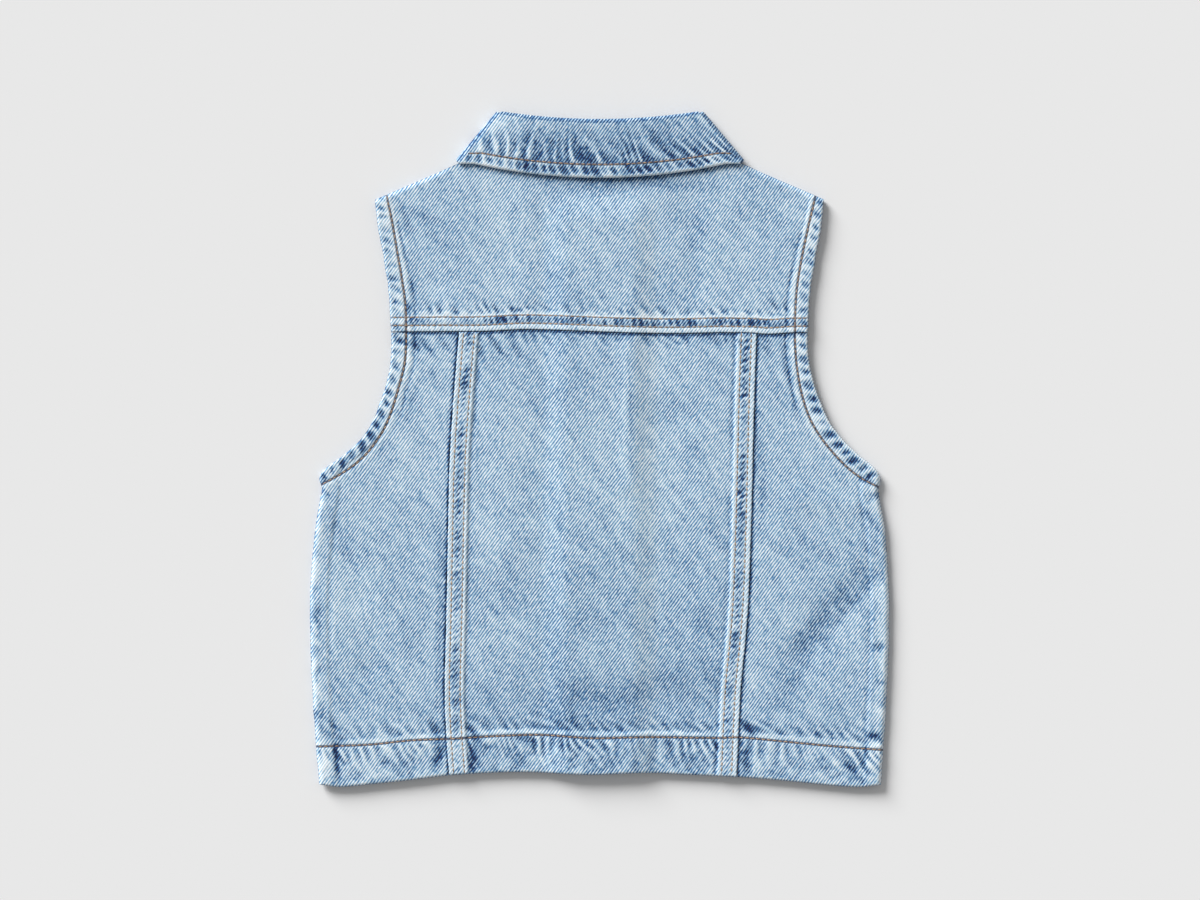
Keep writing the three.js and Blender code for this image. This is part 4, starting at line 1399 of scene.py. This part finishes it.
class VEST_OT_back_panels(BuildsPiece, bpy.types.Operator):
    """The centre panel with its two felled seams, and the two side panels"""

    bl_idname = "vest.back_panels"
    bl_label = "Back panels"

    CENTRE_WIDTH, CENTRE_SWAY = 150, 0.12
    SIDE_WIDTH, SIDE_SWAY = 76, 0.25
    STRIP_STEP = 0.7
    BESIDE_SEAM = [0, 0.4, 0.8, 1.3]

    def execute(self, context):
        sizes, _ = self.settings(context)
        step = sizes.mesh_step / MM
        self.centre(step)
        self.side(LEFT, step)
        self.side(RIGHT, step)
        return {"FINISHED"}

    def back_panel(self, left, right, columns, step, raised, rolls, dress, sway):
        corners = (hem_corner(left), hem_corner(right), seam_top(left), seam_top(right))
        return panel(
            (left, right, hem_edge, under_yoke, corners),
            columns,
            panel_rows(step),
            1,
            back_height,
            lambda away, y: band(away["bottom"], HEM_DEPTH, HEM_RAISED) + raised(away, y),
            {**rolls, "bottom": free_roll},
            dress,
            sway,
        )

    def centre(self, step):
        across = np.arange(FELLED_ROLL + self.STRIP_STEP, STRIP_WIDTH + 1.5, self.STRIP_STEP)
        strip = roll_steps(FELLED_ROLL, *across)
        made = self.back_panel(
            LEFT.seam,
            RIGHT.seam,
            stations(strip, even(self.CENTRE_WIDTH, step), strip),
            step,
            lambda away, y: band(np.minimum(away["left"], away["right"]), STRIP_WIDTH, STRIP_RAISED),
            {"left": felled_roll, "right": felled_roll},
            centre_cloth,
            self.CENTRE_SWAY,
        )
        piece = cloth_object("centre_panel", made, vest_denim(), "back_centre_panel")
        self.settle(piece, (210, 305), 62000, ["front_left", "front_right"])

    def side(self, side, step):
        name = side.name
        near = side.ordered(roll_steps(SIDE_ROLL), self.BESIDE_SEAM)
        under = side.ordered(MARGIN_UNDER, SHORT_MARGIN)

        def raised(away, y):
            return band(away[name], np.where(y > UNDERARM, ARMHOLE_BAND, SIDE_BAND), BAND_RAISED)

        made = self.back_panel(
            *side.ordered(side.edge, lambda y: side.seam(y) + side.outward * SEAM_GAP),
            stations(near[0], even(self.SIDE_WIDTH, step), near[1], *under),
            step,
            raised,
            {name: back_side_roll},
            lambda x, y: side_cloth(side, x, y),
            self.SIDE_SWAY,
        )
        piece = cloth_object(f"side_panel_{name}", made, vest_denim(), f"back_side_panel_{name}")
        self.settle(piece, (100, 300), 24500, [f"front_{name}"])


class VEST_OT_fronts(BuildsPiece, bpy.types.Operator):
    """The two plain fronts, face down on the surface, the right one lapped over the left"""

    bl_idname = "vest.fronts"
    bl_label = "Fronts"

    WIDTH, LENGTH = 150, 330
    ROW_OVER_HEM = 22.5
    BY_PLACKET = [3, *np.arange(4.0, 6.1, 0.4), *range(8, 28, 2)]
    BY_HEM = [5, 8, 11, 14, 17, 20, *np.arange(21.3, 23.8, 0.4), 26]

    def execute(self, context):
        self.front(LEFT, UNDER_LAP_HEIGHT, UNDER_LAP_END, ["front_right"])
        self.front(RIGHT, OUTER_LAP_HEIGHT, OUTER_LAP_END, ["floor"])
        return {"FINISHED"}

    def front(self, side, lap_height, lap_end, rests_on):
        outward = side.outward

        def height(x, y):
            return front_height(x, y, lap_height, lap_end, outward)

        def side_edge(y):
            past = ease(UNDERARM, UNDERARM + FRONT_INSET_RAMP, y)
            before = 1 - ease(SHOULDER_TIP - FRONT_INSET_RAMP, SHOULDER_TIP, y)
            return side.edge(y) - outward * FRONT_ARMHOLE_INSET * past * before

        def lap_edge(y):
            return np.full(np.shape(y), -outward * float(LAP))

        def hem(x):
            return hem_edge(x) + FRONT_HEM_INSET

        def top(x):
            neck = front_neck(np.where(outward * x > 0, x, 0)) - FRONT_NECK_GAP
            return np.where(outward * x > NECK_HALF, shoulder(x), neck)

        def side_roll(x, y):
            seam = side_share(y)
            rise = mix(FRONT_FREE_RISE, to_side_seam(height(x, y)), seam)
            return mix(FRONT_FREE_ROLL, FRONT_SIDE_ROLL, seam), rise

        def top_roll(x, y):
            opening = ease(SHOULDER_SEAM_OFF, SHOULDER_SEAM_ON, outward * x)
            return FRONT_SIDE_ROLL, opening * to_side_seam(height(x, y))

        def edge_roll(x, y):
            return FRONT_FREE_ROLL, np.full_like(x, LAP_EDGE_RISE)

        def dress(x, y):
            cloth = Cloth(x, y)
            from_hem = y - hem(x)
            cloth.shade(0.3 * (1 - ease(0.4, 2.2, from_hem)))
            pucker = ropes(x, y, period=6.4, slant=0.6, seed=141)
            cloth.shade(within(from_hem, 12, self.ROW_OVER_HEM, 1.5) * 0.5 * pucker)
            cloth.stitched(from_hem - self.ROW_OVER_HEM)
            cloth.stitched(np.abs(x - lap_edge(y)) - PLACKET_ROW)
            cloth.relief = np.zeros_like(x)
            return cloth

        lap_x = lap_edge(0.0)
        side_corner = (float(hem(side_edge(HEM_CORNER))), SHOULDER_TIP)
        first, last = side.ordered(side_corner, (float(hem(lap_x)), float(top(lap_x))))
        near = side.ordered(roll_steps(FRONT_SIDE_ROLL), roll_steps(FRONT_FREE_ROLL, *self.BY_PLACKET))
        low, high = roll_steps(FRONT_FREE_ROLL, *self.BY_HEM), roll_steps(FRONT_SIDE_ROLL)
        left_roll, right_roll = side.ordered(side_roll, edge_roll)
        made = panel(
            (*side.ordered(side_edge, lap_edge), hem, top, (first[0], last[0], first[1], last[1])),
            stations(near[0], even(self.WIDTH, COARSE), near[1]),
            stations(low, even(self.LENGTH, COARSE), high),
            -1,
            height,
            lambda away, y: 0.0,
            {"left": left_roll, "right": right_roll, "bottom": edge_roll, "top": top_roll},
            dress,
        )
        piece = cloth_object(f"front_panel_{side.name}", made, vest_denim(), f"front_{side.name}")
        self.settle(piece, (195, 395), 62000, rests_on)


# The collar


class VEST_OT_collar(BuildsPiece, bpy.types.Operator):
    """The folded collar, round the neck from one front to the other"""

    bl_idname = "vest.collar"
    bl_label = "Collar"

    # Stations along the back, round each turn and along each front
    BACK, TURN, FRONT = 210, 10, 44

    # A section's rows up the stand, round the fold, down the fall and under it, and what each row is
    STAND_ROWS, FOLD_STEPS, FALL_ROWS = 12, 8, 44
    MARGIN = (0, 0.7, 2, 4, 7, 10)
    STAND, FALL, UNDER, FOLD = range(4)
    FAR_FROM_EDGE = 60.0

    # How much the fall's edge is rounded above and below, and over which width
    EDGE_ROUND, EDGE_WIDTH = 0.55, 1.4
    UNDER_ROUND, UNDER_WIDTH = 0.4, 0.8

    def execute(self, context):
        round_neck = list(self.stations())
        sections = [self.section(*station) for station in round_neck]
        points, from_edge, layer = (np.array([section[k] for section in sections]) for k in range(3))
        turning = np.array([math.sin(station[4]) for station in round_neck])[:, None] > 0.01
        near_edge = points[:, -len(self.MARGIN) - 2, :2]
        steps = np.hypot(*np.diff(near_edge, axis=0).T)
        along = np.concatenate(([0.0], np.cumsum(steps)))[:, None] + 0 * from_edge
        cloth = self.wash(points, along, from_edge, layer, turning)
        points[:, :, 2] += cloth.lift
        material = shared("collar_cloth", denim, COLLAR_TONE)
        piece = cloth_object("collar_band", (points, cloth, 1), material, "collar")
        self.settle(piece, (420, 82), 33000, ["back_yoke", "front_left", "front_right"])
        return {"FINISHED"}

    def stations(self):
        """Round the collar: fold, fall's edge, neck, outward heading, turn of the section, depth of fold."""
        for k in range(self.FRONT, 0, -1):
            yield self.at_front(-1, k / self.FRONT)
        for k in range(self.TURN, 0, -1):
            yield self.at_turn(-1, math.pi * k / self.TURN)
        for k in range(self.BACK + 1):
            yield self.at_back(2 * k / self.BACK - 1)
        for k in range(1, self.TURN + 1):
            yield self.at_turn(1, math.pi * k / self.TURN)
        for k in range(1, self.FRONT + 1):
            yield self.at_front(1, k / self.FRONT)

    @staticmethod
    def outward(side):
        dx, dy = TURN_EDGE[0] - TURN_FOLD[0], TURN_EDGE[1] - TURN_FOLD[1]
        return np.array((-side * dy, dx)) / math.hypot(dx, dy)

    def at_front(self, side, share):
        mirror = np.array((side, 1))
        fold = mirror * mix(np.array(TURN_FOLD), np.array(END_FOLD), share)
        edge = mirror * mix(np.array(TURN_EDGE), np.array(END_POINT), share)
        neck_x = mix(TURN_NECK_X, END_NECK_X, share)
        neck = mirror * (neck_x, float(front_neck(neck_x)))
        return fold, edge, neck, self.outward(side), math.pi, 0.0

    def at_turn(self, side, angle):
        mirror = np.array((side, 1))
        neck = mirror * (TURN_NECK_X, back_neck(TURN_NECK_X) + SEAM_GAP)
        return mirror * TURN_FOLD, mirror * TURN_EDGE, neck, self.outward(side), angle, 0.0

    def at_back(self, u):
        fold_x, edge_x, neck_x = TURN_FOLD[0] * u, TURN_EDGE[0] * u, TURN_NECK_X * u
        fold = np.array((fold_x, fold_line(fold_x)))
        edge = np.array((edge_x, float(fall_edge(edge_x))))
        neck = np.array((neck_x, back_neck(neck_x) + SEAM_GAP))
        return fold, edge, neck, np.zeros(2), 0.0, FOLD_EXTRA * (1 - u**6)

    def section(self, fold, edge, neck, outward, angle, extra):
        """One hairpin: up the stand, round the fold, down the fall, and a margin turned under it."""
        stand, fall = np.hypot(*(neck - fold)), np.hypot(*(edge - fold))
        stand_way, fall_way = (neck - fold) / stand, (edge - fold) / fall
        depth = FOLD_DEPTH + extra
        radius = depth / 2
        rows = []
        for share in np.linspace(1, 0.06, self.STAND_ROWS):
            rows.append((stand_way, mix(radius, stand, share), 0.0, self.STAND))
        for k in range(self.FOLD_STEPS + 1):
            turn = math.pi * k / self.FOLD_STEPS
            way = mix(stand_way, fall_way, k / self.FOLD_STEPS)
            rows.append((way, radius - radius * math.sin(turn), radius - radius * math.cos(turn), self.FOLD))
        for share in np.linspace(0.02, 1, self.FALL_ROWS):
            run = mix(radius, fall, share)
            rounded = self.EDGE_ROUND * (1 - min(1.0, (fall - run) / self.EDGE_WIDTH)) ** 2
            rows.append((fall_way, run, mix(depth, FOLD_DEPTH, share) - rounded, self.FALL))
        for back in self.MARGIN:
            run = fall - back
            share = (run - radius) / (fall - radius)
            thick = COLLAR_CLOTH - self.UNDER_ROUND * math.exp(-((back / self.UNDER_WIDTH) ** 2))
            rows.append((fall_way, run, mix(depth, FOLD_DEPTH, share) - thick, self.UNDER))
        points, from_edge = [], []
        for way, run, height, layer in rows:
            lift = STAND_HALF_GAP + height
            flat = fold + way * run + outward * lift * math.sin(angle)
            points.append((*flat, COLLAR_MIDDLE + lift * math.cos(angle)))
            from_edge.append(self.FAR_FROM_EDGE if layer == self.STAND else fall - run)
        return points, from_edge, [row[3] for row in rows]

    def wash(self, points, along, from_edge, layer, turning):
        """Strong slanted ropes on both sides of the collar's row of stitches, and painted shade over the
        highlight on its rounded fold and turned ends.
        """
        cloth = Cloth(points[:, :, 0], points[:, :, 1])
        on_fall = (layer == self.FALL).astype(float)
        from_row = from_edge - COLLAR_ROW
        above = np.maximum(from_row, 0)
        upper = ropes(along, above, period=8.4, slant=0.45, seed=151, sharp=2.6, steady=4.5)
        finer = ropes(along, above, period=4.3, slant=0.6, seed=152, sharp=1.8)
        finer = finer + noise(along / 1.9, above / 3, 154)
        reach = 18 + 10 * noise(along / 8, 0.3, 153)
        strength = ease(0.1, 1, above) * (1 - 0.8 * ease(2, reach, above))
        in_upper = ease(-0.2, 0.4, from_row)
        in_lower = 1 - in_upper
        shade = in_upper * strength * (0.78 * upper + 0.16 * finer - 0.04)
        shade = shade + in_upper * (0.24 * ease(14, 25, above) + 0.1 * noise(along / 2.2, above / 4.4, 155))
        middle = from_edge - 0.5 * COLLAR_ROW - 0.3
        lower = spots(along, middle, period=5.9, long=3.5, wide=2.7, slant=0.55, seed=161)
        shade = shade + in_lower * (0.72 - 1.9 * lower)
        shade = shade + in_lower * 0.25 * (1 - ease(0.8, 2, from_edge))
        cloth.shade(on_fall * shade)
        ends = 0.34 * (1 - ease(-72, -30, cloth.x)) + 0.2 * ease(58, 78, cloth.x)
        cloth.shade(on_fall * (ends - 0.08 * hill(cloth.x, 24, 30)))
        # Painted shade on the rounded fold and the turned ends, against their highlight
        cloth.over(np.where(turning | (layer == self.FOLD), 0.9, 0.0), -0.5)
        cloth.stitched(np.where((layer == self.FALL) & ~turning, from_row, FAR_FROM_ROW))
        facing_up = on_fall * np.where(points[:, :, 2] > COLLAR_MIDDLE, 1.0, 0.0)
        cloth.lift = facing_up * (0.3 * shade * ease(0, 2, from_edge) - 0.3 * hill(from_row, 0, 0.9))
        return cloth


# Buttons and stitches


def closed_faces(first, rings, sides):
    """Faces of a closed body whose points are an end, rings that turn left about the way on, and an end."""
    last = first + 1 + sides * rings
    faces = []
    for s in range(sides):
        n = (s + 1) % sides
        faces.append((first, first + 1 + n, first + 1 + s))
        faces.append((last, last - sides + s, last - sides + n))
        for k in range(rings - 1):
            low = first + 1 + k * sides
            faces.append((low + s, low + n, low + sides + n, low + sides + s))
    return faces


class VEST_OT_buttons(BuildsPiece, bpy.types.Operator):
    """The metal shank buttons down the front, faces on the surface"""

    bl_idname = "vest.buttons"
    bl_label = "Buttons"

    SIDES = 48

    def execute(self, context):
        _, colours = self.settings(context)
        metal = shared("dulled_brass", button_metal, colours)
        turns = np.linspace(0, 2 * math.pi, self.SIDES, endpoint=False)
        face, *rings, back = zip(BUTTON_PROFILE["r"], BUTTON_PROFILE["z"])
        points = [(0, 0, face[1])]
        points += [(r * math.cos(turn), r * math.sin(turn), z) for r, z in rings for turn in turns]
        points = np.array([*points, (0, 0, back[1])])
        faces = closed_faces(0, len(rings), self.SIDES)
        for k, y in enumerate(BUTTON_ROWS):
            piece = new_object(f"shank_button_{k + 1}", points + (0, y, 0), faces, metal)
            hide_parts(f"button_{k + 1}")
        return {"FINISHED"}


class VEST_OT_stitching(BuildsPiece, bpy.types.Operator):
    """Every row of topstitching that shows, laid stitch by stitch on the cloth"""

    bl_idname = "vest.stitching"
    bl_label = "Topstitching"

    # A stitch: places along its half length with its girth there, and how round it is across
    SIDES = 6
    RINGS = ((-0.86, 0.45), (-0.45, 0.92), (0.0, 1.0), (0.45, 0.92), (0.86, 0.45))
    ROUNDNESS = 0.8

    # How far its middle is off the cloth and arches over its ends, how much of the pitch it covers, its slip
    LIFT, ARCH = 0.16, 0.2
    COVERED = (0.74, 0.86)
    SLIP = 0.08

    # What is left bare at the ends of the rows
    YOKE_TRIM, SEAM_TRIM, SEAM_HEM_TRIM, HEM_TRIM, COLLAR_TRIM = 1.5, 1.6, 9.5, 1.6, 0.5
    ARMHOLE_TRIMS = (1.8, 1.0)

    # Where the search for the cloth's height starts, in metres
    ABOVE_ALL = 0.05

    def execute(self, context):
        sizes, colours = self.settings(context)
        material = shared("topstitch_thread", thread, colours)
        self.pitch, self.width = sizes.stitch_pitch / MM, sizes.thread_width / MM
        names = ("yoke", "centre_panel", "side_panel_left", "side_panel_right", "collar_band")
        graph = context.evaluated_depsgraph_get()
        self.cloths = [BVHTree.FromObject(bpy.data.objects[name], graph) for name in names]
        for name, seam, start, end in self.rows():
            points, faces = self.sew(seam, start, end, len(name))
            new_object(f"stitches_{name}", points, faces, material)
        return {"FINISHED"}

    def rows(self):
        """Each row's name, line, and where on the line it starts and ends."""
        start, end = self.YOKE_TRIM, YOKE_EDGE.length - self.YOKE_TRIM
        for name, distance in zip(("low", "high"), YOKE_ROWS):
            yield f"yoke_{name}", YOKE_EDGE.beside(distance), start, end
        for side in (LEFT, RIGHT):
            start, end = side.ordered(self.SEAM_TRIM, self.SEAM_HEM_TRIM)
            for name, distance in zip(("outer", "inner"), side.strip_rows):
                line = side.strip.beside(distance)
                yield f"{side.name}_seam_{name}", line, start, side.strip.length - end
        yield "hem", HEM_STITCH, self.HEM_TRIM, HEM_STITCH.length - self.HEM_TRIM
        for side in (LEFT, RIGHT):
            start, end = self.ARMHOLE_TRIMS
            yield f"{side.name}_armhole", side.armhole_row, start, side.armhole_row.length - end
        u = np.linspace(-1, 1, SEAM_POINTS)
        fold_x, edge_x = TURN_FOLD[0] * u, TURN_EDGE[0] * u
        fold_y, edge_y = fold_line(fold_x), fall_edge(edge_x)
        share = COLLAR_ROW / np.hypot(fold_x - edge_x, fold_y - edge_y)
        row = Seam(mix(edge_x, fold_x, share), mix(edge_y, fold_y, share))
        yield "collar", row, self.COLLAR_TRIM, row.length - self.COLLAR_TRIM

    def ground(self, place):
        """Height of the cloth at a place, in millimetres."""
        start, down = Vector((place[0] * MM, place[1] * MM, self.ABOVE_ALL)), Vector((0, 0, -1))
        hits = [cloth.ray_cast(start, down)[0] for cloth in self.cloths]
        heights = [hit.z / MM for hit in hits if hit is not None]
        return max(heights) if heights else None

    def sew(self, seam, start, end, seed):
        random = np.random.default_rng(seed)
        count = int((end - start) / self.pitch)
        pitch = (end - start) / count
        points, faces = [], []
        for middle in start + (np.arange(count) + 0.5) * pitch:
            half = 0.5 * pitch * random.uniform(*self.COVERED)
            first, last = seam.at(np.array((middle - half, middle + half)))
            lows = self.ground(first), self.ground(last)
            if None in lows:
                continue
            faces += closed_faces(len(points), len(self.RINGS), self.SIDES)
            slip = random.uniform(-self.SLIP, self.SLIP)
            points += self.stitch(np.array((*first, lows[0])), np.array((*last, lows[1])), slip)
        return np.array(points), faces

    def stitch(self, tail, head, slip):
        """Points of one stitch: its tail's tip, its rings and its head's tip."""
        way = head - tail
        length = np.linalg.norm(way)
        way /= length
        side = np.array((-way[1], way[0], 0.0))
        side /= np.linalg.norm(side)
        up = np.cross(way, side)
        middle = (tail + head) / 2 + up * self.LIFT + side * slip

        def spine(t):
            return middle + way * length / 2 * t - up * self.ARCH * t * t

        points = [spine(-1)]
        for t, girth in self.RINGS:
            centre, half = spine(t), self.width / 2 * girth
            for k in range(self.SIDES):
                turn = 2 * math.pi * k / self.SIDES
                points.append(centre + (side * math.cos(turn) + up * math.sin(turn) * self.ROUNDNESS) * half)
        return [*points, spine(1)]


# The stage


class VEST_OT_stage(BuildsPiece, bpy.types.Operator):
    """A plain pale surface, soft light from the upper left, and a camera that looks straight down"""

    bl_idname = "vest.stage"
    bl_label = "Stage"

    FLOOR_HALF = 3.0
    SUN_STRENGTH, SUN_SPREAD = 4.79, math.radians(30)
    SUN_WAY = (0.56, -0.66, -0.41)
    SKY_STRENGTH = 0.356

    def execute(self, context):
        _, colours = self.settings(context)
        self.floor(colours)
        self.lights(context)
        self.camera(context)
        return {"FINISHED"}

    def floor(self, colours):
        half = self.FLOOR_HALF
        corners = [(-half, -half, 0), (half, -half, 0), (half, half, 0), (-half, half, 0)]
        mesh = bpy.data.meshes.new("floor")
        mesh.from_pydata(corners, [], [(0, 1, 2, 3)])
        colour = tuple(colours.floor_colour) + (1.0,)
        looks = {"Base Color": colour, "Roughness": 1.0, "Specular IOR Level": 0.0}
        mesh.materials.append(new_material("pale_floor", looks)[0])
        floor = bpy.data.objects.new("floor", mesh)
        bpy.context.scene.collection.objects.link(floor)
        floor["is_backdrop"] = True

    def lights(self, context):
        sun = bpy.data.lights.new("key", "SUN")
        sun.energy, sun.angle = self.SUN_STRENGTH, self.SUN_SPREAD
        lamp = bpy.data.objects.new("key", sun)
        lamp.rotation_euler = Vector(self.SUN_WAY).to_track_quat("-Z", "Y").to_euler()
        context.scene.collection.objects.link(lamp)
        world = bpy.data.worlds.new("studio")
        world.use_nodes = True
        sky = world.node_tree.nodes["Background"].inputs
        sky["Color"].default_value = (1.0, 1.0, 1.0, 1.0)
        sky["Strength"].default_value = self.SKY_STRENGTH
        context.scene.world = world
        context.scene.view_settings.view_transform = "Standard"

    def camera(self, context):
        data = bpy.data.cameras.new("camera")
        data.sensor_width, data.sensor_fit = SENSOR, "HORIZONTAL"
        data.lens = SENSOR * CAMERA_HEIGHT / FRAME_WIDTH
        camera = bpy.data.objects.new("camera", data)
        camera.location = (0, 0, (CAMERA_HEIGHT + BACK_LAID) * MM)
        context.scene.collection.objects.link(camera)
        context.scene.camera = camera


class VEST_PT_panel(bpy.types.Panel):
    """The vest's pieces in the order that they are built"""

    bl_idname = "VEST_PT_panel"
    bl_label = "Denim vest"
    bl_space_type = "VIEW_3D"
    bl_region_type = "UI"
    bl_category = "Vest"

    def draw(self, context):
        for group in (context.scene.vest_sizes, context.scene.vest_colours):
            for name in group.__annotations__:
                self.layout.prop(group, name)
        for operator in OPERATORS:
            self.layout.operator(operator.bl_idname)


OPERATORS = (
    VEST_OT_back_yoke,
    VEST_OT_back_panels,
    VEST_OT_fronts,
    VEST_OT_collar,
    VEST_OT_buttons,
    VEST_OT_stitching,
    VEST_OT_stage,
)
CLASSES = (VestColours, VestSizes, *OPERATORS, VEST_PT_panel)


def register():
    for cls in CLASSES:
        bpy.utils.register_class(cls)
    bpy.types.Scene.vest_sizes = bpy.props.PointerProperty(type=VestSizes)
    bpy.types.Scene.vest_colours = bpy.props.PointerProperty(type=VestColours)


def unregister():
    del bpy.types.Scene.vest_colours
    del bpy.types.Scene.vest_sizes
    for cls in reversed(CLASSES):
        bpy.utils.unregister_class(cls)


def main():
    register()
    bpy.ops.vest.back_yoke()
    bpy.ops.vest.back_panels()
    bpy.ops.vest.fronts()
    bpy.ops.vest.collar()
    bpy.ops.vest.buttons()
    bpy.ops.vest.stitching()
    bpy.ops.vest.stage()
    boxes = {"cad": CAD_BOX, "visual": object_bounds()}
    lists = {name: [list(map(float, corner)) for corner in box] for name, box in boxes.items()}


if __name__ == "__main__":
    main()
